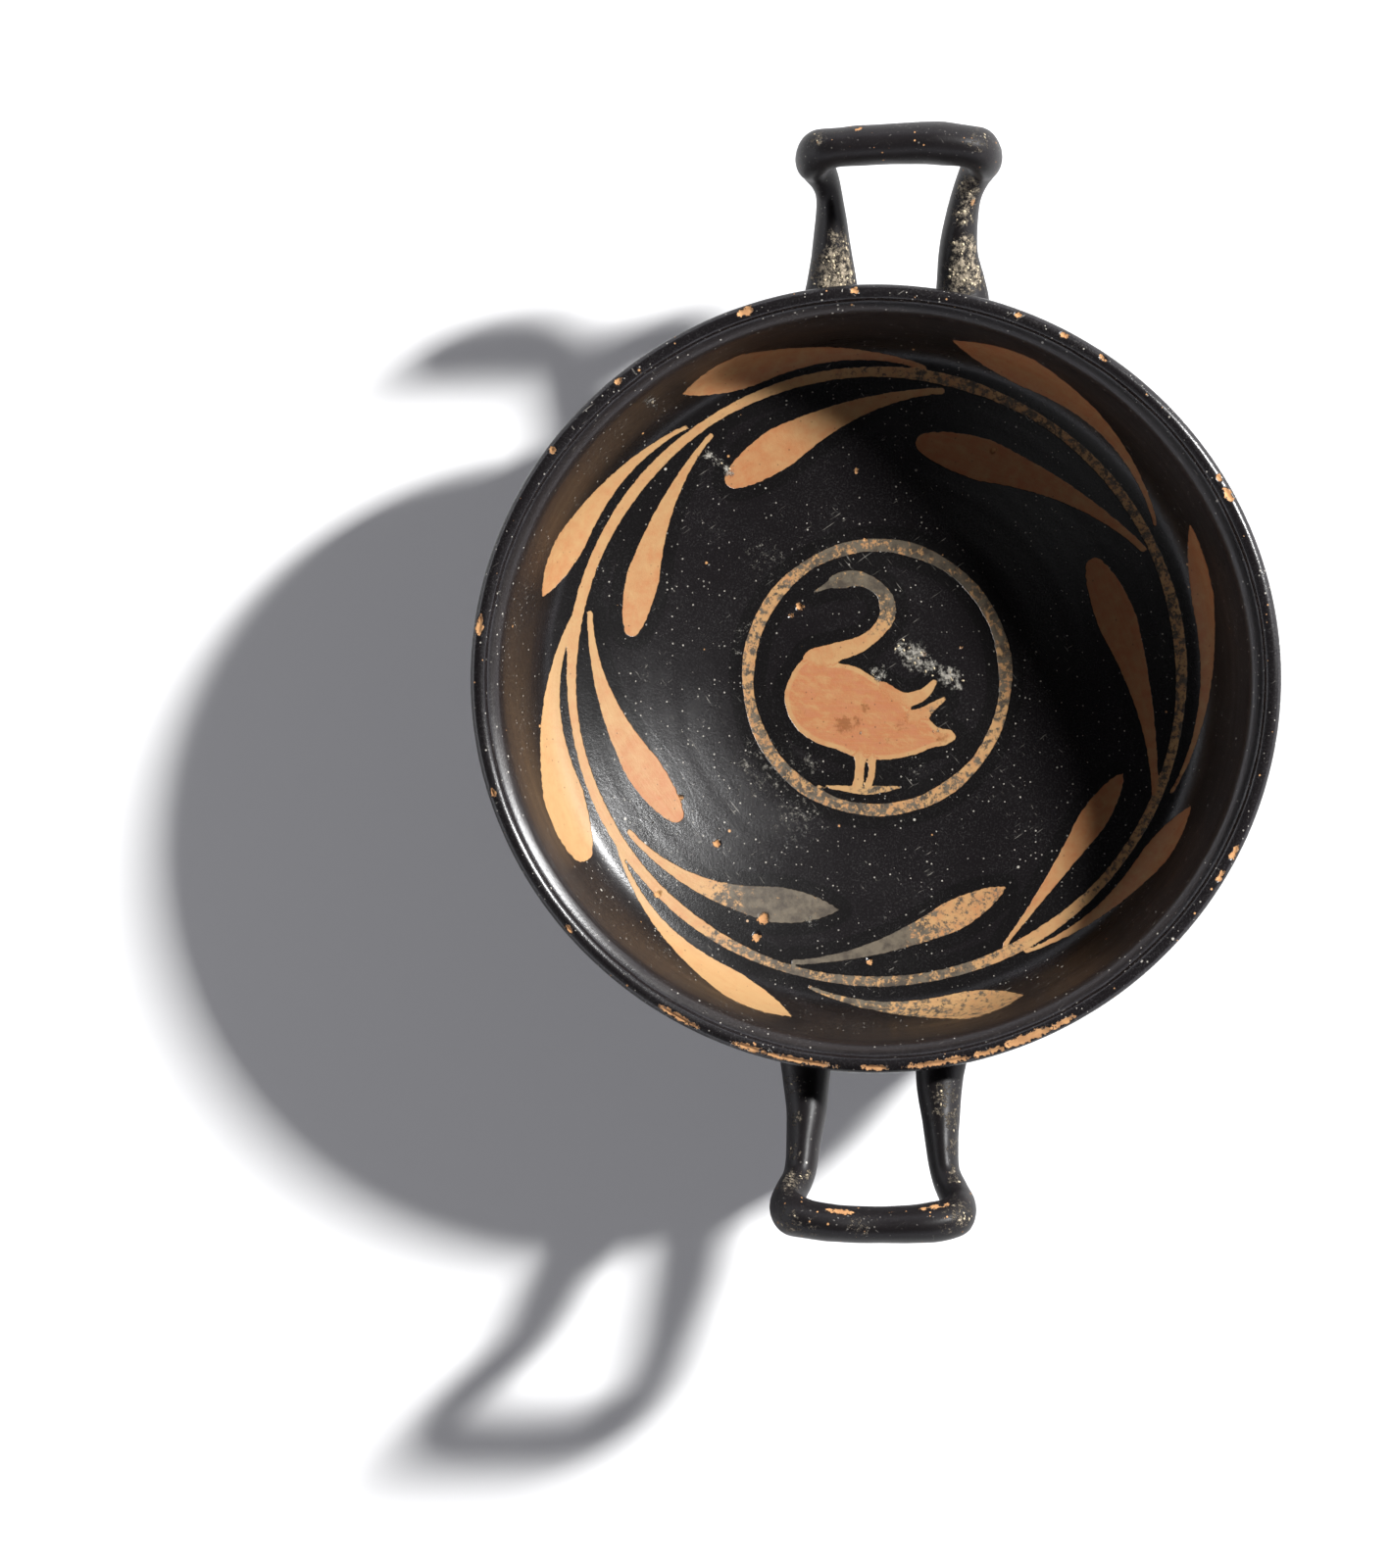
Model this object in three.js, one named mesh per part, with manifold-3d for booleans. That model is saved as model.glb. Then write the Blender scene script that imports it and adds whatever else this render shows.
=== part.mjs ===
// Stemless kylix: a shallow two-handled drinking cup, wheel-thrown and fired as one piece of clay.
//
// Frame: millimetres, +Z up.  +Y runs from handle to handle, +X across the bowl.  The cup stands on
// z = 0 on its ring foot, and the origin lies under the middle of its bounding box.

import * as THREE from 'three';
import * as BufferGeometryUtils from 'three/addons/utils/BufferGeometryUtils.js';
import Module from 'manifold-3d';

// ---- Driving dimensions -------------------------------------------------------------------------

const RIM_RADIUS = 76.1;        // outermost radius of the lip, across the cup
const RIM_HEIGHT = 52.0;        // top of the lip above the table
const RIM_OVALNESS = 0.0275;    // how much narrower the rim is along the handles, as a fraction
const LIP_RADIUS = 1.55;        // half the thickness of the rounded lip
const WALL = 3.4;               // thickness of the upright wall

const FLOOR_TOP = 13.2;         // inside floor at the centre
const FLOOR_UNDERSIDE = 7.6;    // underside of the floor, inside the ring foot

const FOOT_RADIUS = 35.0;       // widest radius of the ring foot
const FOOT_HEIGHT = 8.4;        // from the table to the junction with the bowl
const FOOT_REST_OUTER = 33.4;   // the flat ring that the cup stands on
const FOOT_REST_INNER = 29.6;

const LATHE_SEGMENTS = 58;      // facets round the bowl
const PROFILE_STEPS = 2;        // facets per point of a profile curve
const ROD_SIDES = 12;           // facets round a handle
const ROD_STEPS = 40;           // rings along a handle

// Each handle is one rolled rod, bent into a flat U that turns up at its end.  Its stations run from
// one root in the wall to the other: x is the place across the cup, reach the distance from the cup's
// axis, height the level above the table, and radius half the width of the rod.
const NORTH_HANDLE = {
  side: 1,
  stations: [
    { x: 16.4, reach: 67.4, height: 40.6, radius: 4.2 },
    { x: 16.4, reach: 70.6, height: 40.6, radius: 5.1 },
    { x: 16.1, reach: 75.0, height: 40.8, radius: 4.6 },
    { x: 15.6, reach: 80.3, height: 41.8, radius: 3.7 },
    { x: 16.1, reach: 86.0, height: 42.8, radius: 3.2 },
    { x: 17.2, reach: 91.3, height: 44.8, radius: 2.85 },
    { x: 18.7, reach: 95.0, height: 47.6, radius: 3.0 },
    { x: 20.0, reach: 97.0, height: 52.0, radius: 3.2 },
    { x: 20.2, reach: 97.6, height: 57.6, radius: 3.3 },
    { x: 18.7, reach: 98.6, height: 61.2, radius: 3.55 },
    { x: 12.5, reach: 99.4, height: 62.2, radius: 3.9 },
    { x: 4.1, reach: 99.4, height: 62.2, radius: 3.7 },
    { x: -4.0, reach: 99.0, height: 62.0, radius: 3.65 },
    { x: -9.8, reach: 98.3, height: 61.2, radius: 3.5 },
    { x: -11.8, reach: 97.3, height: 57.4, radius: 3.2 },
    { x: -11.4, reach: 96.6, height: 52.0, radius: 3.0 },
    { x: -9.9, reach: 94.6, height: 47.6, radius: 2.8 },
    { x: -8.8, reach: 91.3, height: 44.8, radius: 2.5 },
    { x: -8.3, reach: 86.0, height: 42.8, radius: 3.05 },
    { x: -8.2, reach: 80.3, height: 41.8, radius: 3.8 },
    { x: -8.2, reach: 75.0, height: 40.8, radius: 4.7 },
    { x: -8.3, reach: 71.6, height: 40.6, radius: 5.2 },
    { x: -8.3, reach: 68.8, height: 40.6, radius: 4.3 },
  ],
};
const SOUTH_HANDLE = {
  side: -1,
  stations: [
    { x: 12.4, reach: 68.2, height: 40.4, radius: 4.2 },
    { x: 12.4, reach: 71.2, height: 40.4, radius: 4.9 },
    { x: 12.2, reach: 75.5, height: 40.8, radius: 4.5 },
    { x: 12.35, reach: 82.0, height: 41.8, radius: 3.75 },
    { x: 12.6, reach: 87.5, height: 43.2, radius: 3.2 },
    { x: 13.3, reach: 93.0, height: 45.4, radius: 2.8 },
    { x: 14.8, reach: 96.6, height: 48.6, radius: 2.9 },
    { x: 15.8, reach: 99.0, height: 52.2, radius: 3.1 },
    { x: 15.2, reach: 100.4, height: 55.8, radius: 3.3 },
    { x: 11.0, reach: 101.5, height: 57.4, radius: 3.6 },
    { x: 0.0, reach: 101.9, height: 58.0, radius: 3.4 },
    { x: -9.0, reach: 101.5, height: 58.2, radius: 3.5 },
    { x: -14.6, reach: 100.4, height: 57.2, radius: 3.4 },
    { x: -16.5, reach: 99.1, height: 53.6, radius: 3.2 },
    { x: -16.0, reach: 97.0, height: 49.6, radius: 2.95 },
    { x: -14.3, reach: 93.6, height: 44.8, radius: 2.9 },
    { x: -13.4, reach: 87.5, height: 41.6, radius: 3.3 },
    { x: -13.0, reach: 82.0, height: 39.4, radius: 3.85 },
    { x: -13.1, reach: 75.5, height: 37.8, radius: 4.5 },
    { x: -13.2, reach: 71.2, height: 37.6, radius: 4.9 },
    { x: -13.2, reach: 67.4, height: 37.8, radius: 4.2 },
  ],
};

// The rod is an oval in section, but round where it meets the wall.  The oval stands upright along
// the legs and the crossbar, and lies along the handle where the rod climbs.
const ROD_DEPTH = 1.85;         // depth of the oval over its width
const CLIMB_SHARE = 0.35;       // share of that depth where the rod climbs
const ROUND_REACH = 71.0;       // round up to this reach
const OVAL_REACH = 90.0;        // a full oval from here

const BLACK_SLIP = new THREE.MeshStandardMaterial({ color: 0x14110f, roughness: 0.28, metalness: 0.0 });

// ---- Solids -------------------------------------------------------------------------------------

const wasm = await Module();
wasm.setup();

// Turns a closed three.js geometry into a solid that can be joined.
function toSolid(geometry) {
  const bare = geometry.clone();
  bare.deleteAttribute('normal');
  bare.deleteAttribute('uv');
  const merged = BufferGeometryUtils.mergeVertices(bare, 1e-3);
  const index = merged.index.array;
  const triangles = [];
  for (let i = 0; i < index.length; i += 3) {
    const [a, b, c] = [index[i], index[i + 1], index[i + 2]];
    if (a !== b && b !== c && c !== a) {
      triangles.push(a, b, c);
    }
  }
  const mesh = new wasm.Mesh({
    numProp: 3,
    vertProperties: new Float32Array(merged.attributes.position.array),
    triVerts: new Uint32Array(triangles),
  });
  return new wasm.Manifold(mesh);
}

// Turns a joined solid back into a three.js geometry.
function toGeometry(solid) {
  const mesh = solid.getMesh();
  const geometry = new THREE.BufferGeometry();
  geometry.setAttribute('position', new THREE.BufferAttribute(new Float32Array(mesh.vertProperties), 3));
  geometry.setIndex(new THREE.BufferAttribute(new Uint32Array(mesh.triVerts), 1));
  geometry.computeVertexNormals();
  return geometry;
}

// ---- Bowl and ring foot -------------------------------------------------------------------------

const at = (radius, height) => new THREE.Vector2(radius, height);

// Half section of the bowl, from the middle of the underside, round the foot, up the outside, over
// the lip and down the inside to the middle of the floor.
function bowlSection() {
  const lipCentre = at(RIM_RADIUS - LIP_RADIUS, RIM_HEIGHT - LIP_RADIUS);
  const wallTop = RIM_HEIGHT - 5.5;
  const section = new THREE.Path();
  section.moveTo(0, FLOOR_UNDERSIDE);
  section.splineThru([at(FOOT_REST_INNER - 6, FLOOR_UNDERSIDE - 0.3), at(FOOT_REST_INNER - 1.6, 4.6)]);
  section.lineTo(FOOT_REST_INNER, 0);
  section.lineTo(FOOT_REST_OUTER, 0);
  section.splineThru([
    at(FOOT_RADIUS, FOOT_HEIGHT * 0.3),
    at(FOOT_RADIUS - 0.4, FOOT_HEIGHT * 0.68),
    at(FOOT_RADIUS - 2.4, FOOT_HEIGHT),
  ]);
  section.splineThru([
    at(40, 11.9),
    at(50, 16.8),
    at(60, 21.7),
    at(67, 26.7),
    at(70.2, 33),
    at(71.8, 40),
    at(73.4, wallTop),
    at(lipCentre.x + LIP_RADIUS * 0.8, lipCentre.y - LIP_RADIUS * 0.6),
  ]);
  section.absarc(lipCentre.x, lipCentre.y, LIP_RADIUS, -0.2 * Math.PI, 0.92 * Math.PI, false);
  section.splineThru([
    at(71.6, RIM_HEIGHT - 2.65),
    at(70.4, RIM_HEIGHT - 3.9),
    at(73.0 - WALL, 45),
    at(71.8 - WALL, 40),
    at(70.6 - WALL, 34.5),
    at(65.4, 29.6),
    at(62.6, 26.3),
    at(58.5, 24.4),
    at(49, 20.8),
    at(38, 16.9),
    at(27, 14.0),
    at(14, FLOOR_TOP + 0.2),
    at(0, FLOOR_TOP),
  ]);
  return section.getPoints(PROFILE_STEPS).map((p) => at(Math.max(p.x, 0), p.y));
}

// The potter squeezed the soft rim a little when fixing the handles, so the bowl turns from round
// at the foot to slightly oval at the lip.
function squeeze(geometry) {
  const position = geometry.attributes.position;
  for (let i = 0; i < position.count; i += 1) {
    const rise = (position.getZ(i) - FOOT_HEIGHT) / (RIM_HEIGHT - FOOT_HEIGHT);
    const share = THREE.MathUtils.clamp(rise, 0, 1);
    position.setY(i, position.getY(i) * (1 - RIM_OVALNESS * share));
  }
}

function bowlSolid() {
  const geometry = new THREE.LatheGeometry(bowlSection(), LATHE_SEGMENTS);
  geometry.rotateX(Math.PI / 2);
  squeeze(geometry);
  return toSolid(geometry);
}

// ---- Handles ------------------------------------------------------------------------------------

// Half the rod's width at a place along the handle, where 0 and 1 are the two roots.
function rodRadius(stations, along) {
  const last = stations.length - 1;
  const place = along * last;
  const low = Math.min(Math.floor(place), last - 1);
  return THREE.MathUtils.lerp(stations[low].radius, stations[low + 1].radius, place - low);
}

function handleCurve({ side, stations }) {
  return new THREE.CatmullRomCurve3(
    stations.map((s) => new THREE.Vector3(s.x, side * s.reach, s.height)),
  );
}

// A thin pilot rod is extruded along the curve.  Each of its rings is then swelled to the width of
// the clay there, and stretched into an oval.
function handleSolid(handle) {
  const curve = handleCurve(handle);
  const pilot = new THREE.Shape();
  pilot.absarc(0, 0, 1, 0, 2 * Math.PI, false);
  const geometry = new THREE.ExtrudeGeometry(pilot, {
    curveSegments: ROD_SIDES / 2,
    steps: ROD_STEPS,
    extrudePath: curve,
  });
  const centres = curve.getSpacedPoints(ROD_STEPS);
  const position = geometry.attributes.position;
  const vertex = new THREE.Vector3();
  for (let i = 0; i < position.count; i += 1) {
    vertex.fromBufferAttribute(position, i);
    const distances = centres.map((centre) => centre.distanceTo(vertex));
    const ring = distances.indexOf(Math.min(...distances));
    const along = curve.getUtoTmapping(ring / ROD_STEPS);
    vertex.sub(centres[ring]).multiplyScalar(rodRadius(handle.stations, along));
    const oval = THREE.MathUtils.smoothstep(Math.abs(centres[ring].y), ROUND_REACH, OVAL_REACH);
    const climb = Math.abs(curve.getTangentAt(ring / ROD_STEPS).z);
    vertex.y *= THREE.MathUtils.lerp(1, ROD_DEPTH, oval * climb * CLIMB_SHARE);
    vertex.z *= THREE.MathUtils.lerp(1, ROD_DEPTH, oval);
    vertex.add(centres[ring]);
    position.setXYZ(i, vertex.x, vertex.y, vertex.z);
  }
  return toSolid(geometry);
}

// ---- The cup ------------------------------------------------------------------------------------

function cupMesh() {
  const clay = [NORTH_HANDLE, SOUTH_HANDLE].reduce(
    (body, handle) => body.add(handleSolid(handle)),
    bowlSolid(),
  );
  const geometry = toGeometry(clay);
  geometry.computeBoundingBox();
  const middle = geometry.boundingBox.getCenter(new THREE.Vector3());
  const mesh = new THREE.Mesh(geometry, BLACK_SLIP);
  mesh.name = 'kylix_cup';
  mesh.position.set(-middle.x, -middle.y, 0);
  return mesh;
}

const kylix = new THREE.Group();
kylix.add(cupMesh());

export default kylix;
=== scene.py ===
"""Looks of a stemless kylix: a wheel-thrown, slip-painted drinking cup with a swan and a laurel wreath.

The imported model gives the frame: metres, +Z up, +Y from handle to handle, the cup standing on z = 0.
Sizes below are in millimetres from the cup's own axis; they become metres where a mesh is made.
"""

import logging
import math
from dataclasses import dataclass
from enum import Enum
from functools import partial
from typing import Any, Callable

import bmesh
import bpy
import numpy as np
from mathutils import Matrix, Vector, kdtree


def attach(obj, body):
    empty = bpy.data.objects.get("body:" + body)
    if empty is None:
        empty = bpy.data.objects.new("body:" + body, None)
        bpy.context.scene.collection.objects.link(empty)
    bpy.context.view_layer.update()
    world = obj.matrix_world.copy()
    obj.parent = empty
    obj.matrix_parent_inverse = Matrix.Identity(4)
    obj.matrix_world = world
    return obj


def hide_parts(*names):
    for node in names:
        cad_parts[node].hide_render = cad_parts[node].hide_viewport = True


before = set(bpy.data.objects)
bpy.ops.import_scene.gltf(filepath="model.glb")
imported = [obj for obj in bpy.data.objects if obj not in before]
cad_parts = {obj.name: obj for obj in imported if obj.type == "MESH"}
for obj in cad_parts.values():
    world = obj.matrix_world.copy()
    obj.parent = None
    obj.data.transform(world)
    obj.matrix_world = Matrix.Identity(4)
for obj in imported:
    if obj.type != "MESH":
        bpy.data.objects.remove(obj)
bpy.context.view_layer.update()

LOG = logging.getLogger("kylix")
MM = 0.001
CAD_NODE = "kylix_cup"
BODY = "root"
AXIS_Y = 0.99  # the cup's axis stands this far from the frame's origin, towards the north handle
NO_FIGURE = -4.0  # depth given to every place farther than this from painted figures
NO_CHIP = -1.5  # the same for flakes
WALL_REACH = 70.0  # from the axis to where the handles' rods enter the wall
EDGE_SLACK = 1.3  # an edge is halved once it is this many times its ideal length
SAME_SPOT = 0.001  # a vertex this near to one of the bowl's or a rod's own is that one

# Blender's names and settings of the nodes that are used most.
MATH, RANGE, NOISE, MIX = "ShaderNodeMath", "ShaderNodeMapRange", "ShaderNodeTexNoise", "ShaderNodeMix"
SMOOTH = {"interpolation_type": "SMOOTHSTEP"}
COLOURS = {"data_type": "RGBA"}

Profile = tuple[tuple[float, float], ...]  # radius and height of the points of a section
Station = tuple[float, float, float, float]  # across the cup, reach from the axis, height, radius
Fields = dict[str, np.ndarray]


# ---- Small tools --------------------------------------------------------------------------------


def linear(code: str) -> tuple[float, float, float, float]:
    """Turn an sRGB hex colour into linear values.

    Args:
        code: six hex digits, red first.

    Returns:
        Linear red, green and blue, and an alpha of 1.
    """
    parts = [int(code[i : i + 2], 16) / 255 for i in (0, 2, 4)]
    flat = [c / 12.92 if c <= 0.04045 else ((c + 0.055) / 1.055) ** 2.4 for c in parts]
    return (flat[0], flat[1], flat[2], 1.0)


def add_node(
    tree: bpy.types.NodeTree, kind: str, inputs: dict[Any, Any] | tuple = (), **settings: Any
) -> bpy.types.Node:
    """Add one node with its settings, values and links.

    Args:
        tree: node tree that gets the node.
        kind: Blender's name of the node type.
        inputs: what each input gets, in order or by name or number: a value, a socket, or a node whose
            first output is meant.
        settings: properties of the node itself.

    Returns:
        The new node.
    """
    node = tree.nodes.new(kind)
    for name, value in settings.items():
        setattr(node, name, value)
    for key, given in inputs.items() if isinstance(inputs, dict) else enumerate(inputs):
        value = given.outputs[0] if isinstance(given, bpy.types.Node) else given
        if isinstance(value, bpy.types.NodeSocket):
            tree.links.new(value, node.inputs[key])
        else:
            node.inputs[key].default_value = value
    return node


def spline(points: Any, steps: int, power: float = 0.5, free_ends: bool = True) -> np.ndarray:
    """Run a smooth curve through points.

    Args:
        points: rows of coordinates; later columns, such as a radius, are carried along.
        steps: samples between two points.
        power: 0.5 for a centripetal curve, 0 for a uniform one.
        free_ends: whether the curve runs straight out at its ends.

    Returns:
        The samples, one row each, with the last point at the end.
    """
    rows = np.asarray(points, float)
    first = 2 * rows[0] - rows[1] if free_ends else rows[0]
    last = 2 * rows[-1] - rows[-2] if free_ends else rows[-1]
    rows = np.vstack([first, rows, last])
    t = np.linspace(0, 1, steps, endpoint=False)[:, None]
    out = []
    for a, b, c, d in zip(rows[:-3], rows[1:-2], rows[2:-1], rows[3:]):
        steps_between = ((a, b), (b, c), (c, d))
        before, span, after = (max(np.linalg.norm(q[:3] - p[:3]) ** power, 1e-6) for p, q in steps_between)
        leave = ((b - a) / before - (c - a) / (before + span) + (c - b) / span) * span
        arrive = ((c - b) / span - (d - b) / (span + after) + (d - c) / after) * span
        out.append(
            (2 * t**3 - 3 * t**2 + 1) * b
            + (t**3 - 2 * t**2 + t) * leave
            + (3 * t**2 - 2 * t**3) * c
            + (t**3 - t**2) * arrive
        )
    return np.vstack([*out, rows[-2][None]])


def ramp(value: np.ndarray, low: float, high: float) -> np.ndarray:
    """Ease from 0 at low to 1 at high."""
    t = np.clip((value - low) / (high - low), 0, 1)
    return t * t * (3 - 2 * t)


def round_the_cup(angle: np.ndarray, stations: dict[float, float]) -> np.ndarray:
    """Read a value that changes round the cup.

    Args:
        angle: angles in degrees.
        stations: the value at some angles.

    Returns:
        The value at each angle.
    """
    known = sorted(stations)
    turns = np.array([a + turn for turn in (-360, 0, 360) for a in known], float)
    return np.interp(angle % 360, turns, np.array([stations[a] for a in known] * 3, float))


def link_mesh(name: str, points: np.ndarray, faces: list[list[int]]) -> bpy.types.Object:
    """Make a mesh object in the scene.

    Args:
        name: name of the object.
        points: vertex positions in metres.
        faces: vertex numbers of each face.

    Returns:
        The new object.
    """
    mesh = bpy.data.meshes.new(name)
    mesh.from_pydata(points.tolist(), [], faces)
    mesh.update()
    made = bpy.data.objects.new(name, mesh)
    bpy.context.scene.collection.objects.link(made)
    return made


def as_plain_mesh(source: bpy.types.Object, name: str) -> bpy.types.Object:
    """Turn an object with modifiers into a plain mesh object, and remove the source.

    Args:
        source: object whose modifiers give the shape.
        name: name of the new object.

    Returns:
        The new object, at the origin.
    """
    graph = bpy.context.evaluated_depsgraph_get()
    mesh = bpy.data.meshes.new_from_object(source.evaluated_get(graph))
    bpy.data.objects.remove(source)
    made = bpy.data.objects.new(name, mesh)
    mesh.name = name
    bpy.context.scene.collection.objects.link(made)
    return made


# ---- The painter's work -------------------------------------------------------------------------


@dataclass
class Paint:
    """What the painter and the kiln left at a set of places on the inside."""

    depth: np.ndarray  # millimetres inside a reserved figure, negative outside
    # grey also carries painted shade where the rim's shadow falls on the stem and the ring
    grey: np.ndarray  # 0 for clay fired red, 1 for clay that stayed grey
    rosy: np.ndarray  # 0 for pale buff clay, 1 for strong orange
    along: np.ndarray  # millimetres along the brush's path
    across: np.ndarray  # millimetres to the side of the brush's path

    @classmethod
    def blank(cls, count: int) -> "Paint":
        """Give places with nothing painted."""
        return cls(np.full(count, NO_FIGURE), *(np.zeros(count) for _ in range(4)))

    def lay(self, where: np.ndarray, depth: np.ndarray, **values: np.ndarray | float) -> None:
        """Lay a figure over what is there, where it reaches deeper.

        Args:
            where: numbers of the places that the figure comes near.
            depth: how deep each of them is in the figure.
            values: the other fields at those places.
        """
        wins = depth > self.depth[where]
        self.depth[where[wins]] = depth[wins]
        for name, value in values.items():
            getattr(self, name)[where[wins]] = value[wins] if isinstance(value, np.ndarray) else value


@dataclass(frozen=True)
class BrushStroke:
    """One stroke, kept as its path with the half width at each point."""

    path: np.ndarray
    grey: tuple[float, float] = (0.0, 0.0)
    rosy: tuple[float, float] = (0.3, 0.3)

    def lay_on(self, paint: Paint, at: np.ndarray) -> None:
        """Lay the stroke.

        Args:
            paint: fields that it changes.
            at: plan positions of the places.
        """
        reach = self.path[:, 2].max() - NO_FIGURE
        low, high = self.path[:, :2].min(0) - reach, self.path[:, :2].max(0) + reach
        near = np.flatnonzero(((at > low) & (at < high)).all(1))
        steps = np.linalg.norm(np.diff(self.path[:, :2], axis=0), axis=1)
        travelled = np.concatenate([[0], np.cumsum(steps)])
        depth, along, across = np.full(len(near), NO_FIGURE), np.zeros(len(near)), np.zeros(len(near))
        for i, (start, end) in enumerate(zip(self.path[:-1], self.path[1:])):
            way = end[:2] - start[:2]
            rel = at[near] - start[:2]
            t = np.clip(rel @ way / max(way @ way, 1e-9), 0, 1)
            gap = rel - t[:, None] * way
            here = start[2] + (end[2] - start[2]) * t - np.hypot(gap[:, 0], gap[:, 1])
            wins = here > depth
            depth[wins] = here[wins]
            along[wins] = travelled[i] + t[wins] * steps[i]
            across[wins] = ((way[0] * gap[:, 1] - way[1] * gap[:, 0]) / max(steps[i], 1e-6))[wins]
        share = along / travelled[-1]
        paint.lay(
            near,
            depth,
            grey=self.grey[0] + (self.grey[1] - self.grey[0]) * ramp(share, 0.25, 0.75),
            rosy=self.rosy[0] + (self.rosy[1] - self.rosy[0]) * share,
            along=along,
            across=across,
        )


@dataclass(frozen=True)
class Leaf:
    """A laurel leaf in one loaded stroke: it swells to a belly and ends blunt or pointed."""

    stalk: tuple[float, float]  # distance from the axis, and angle in degrees
    tip: tuple[float, float]
    bow: float  # how far the middle stands outside the straight line
    half_width: float
    point: float  # 0.5 ends round, 0.9 ends in a point
    grey: tuple[float, float] = (0.0, 0.0)
    rosy: tuple[float, float] = (0.25, 0.6)
    belly: float = 0.72  # where the leaf is widest, as a share of its length

    def stroke(self) -> BrushStroke:
        """Work out the stroke that draws the leaf.

        Returns:
            The stroke, in thirty steps.
        """
        t = np.linspace(0, 1, 30)
        turns = [(r, math.radians(degrees)) for r, degrees in (self.stalk, self.tip)]
        ends = [r * np.array([math.cos(a), math.sin(a)]) for r, a in turns]
        way = ends[1] - ends[0]
        outward = np.array([way[1], -way[0]]) / np.linalg.norm(way)
        middle = ends[0] + way * t[:, None] + outward * (self.bow * np.sin(np.pi * t**0.85))[:, None]
        rise = self.half_width * (0.15 + 0.85 * (t / self.belly) ** 1.6)
        close = np.clip((t - self.belly) / (1 - self.belly), 0, 1)
        fall = self.half_width * (1 - close**2) ** self.point
        width = np.maximum(np.where(t < self.belly, rise, fall), 0.12)
        return BrushStroke(np.column_stack([middle, width]), self.grey, self.rosy)


@dataclass(frozen=True)
class Band:
    """A painted ring, drawn free-hand as a slightly oval circle."""

    centre: tuple[float, float]
    radii: tuple[float, float]
    half_width: float
    grey: dict[float, float]  # by angle in degrees
    rosy: float

    def lay_on(self, paint: Paint, at: np.ndarray) -> None:
        """Lay the ring.

        Args:
            paint: fields that it changes.
            at: plan positions of the places.
        """
        rel = at - np.array(self.centre)
        stretch = np.hypot(rel[:, 0] / self.radii[0], rel[:, 1] / self.radii[1])
        mean = sum(self.radii) / 2
        across = (stretch - 1) * mean
        angle = np.degrees(np.arctan2(rel[:, 1], rel[:, 0]))
        hand = 0.1 * np.sin(np.radians(angle * 5 + 40)) + 0.07 * np.sin(np.radians(angle * 11))
        depth = np.maximum(self.half_width + hand - np.abs(across), NO_FIGURE)
        values = {"rosy": self.rosy, "along": np.radians(angle) * mean, "across": across}
        paint.lay(np.arange(len(at)), depth, grey=round_the_cup(angle, self.grey), **values)


@dataclass(frozen=True)
class Shape:
    """A filled form drawn by its outline."""

    outline: np.ndarray
    grey: float = 0.0
    rosy: float = 0.8

    def lay_on(self, paint: Paint, at: np.ndarray) -> None:
        """Lay the form.

        Args:
            paint: fields that it changes.
            at: plan positions of the places.
        """
        low, high = self.outline.min(0) + NO_FIGURE, self.outline.max(0) - NO_FIGURE
        near = np.flatnonzero(((at > low) & (at < high)).all(1))
        spot = at[near]
        gap, inside = np.full(len(near), -NO_FIGURE), np.zeros(len(near), bool)
        for start, end in zip(self.outline, np.roll(self.outline, -1, axis=0)):
            way, rel = end - start, spot - start
            t = np.clip(rel @ way / max(way @ way, 1e-9), 0, 1)
            off = rel - t[:, None] * way
            gap = np.minimum(gap, np.hypot(off[:, 0], off[:, 1]))
            if start[1] != end[1]:
                crosses = (start[1] > spot[:, 1]) != (end[1] > spot[:, 1])
                inside ^= crosses & (rel[:, 0] < way[0] * rel[:, 1] / way[1])
        depth = np.where(inside, gap, -gap)
        paint.lay(near, depth, grey=self.grey, rosy=self.rosy, along=spot[:, 0], across=spot[:, 1])


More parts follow.
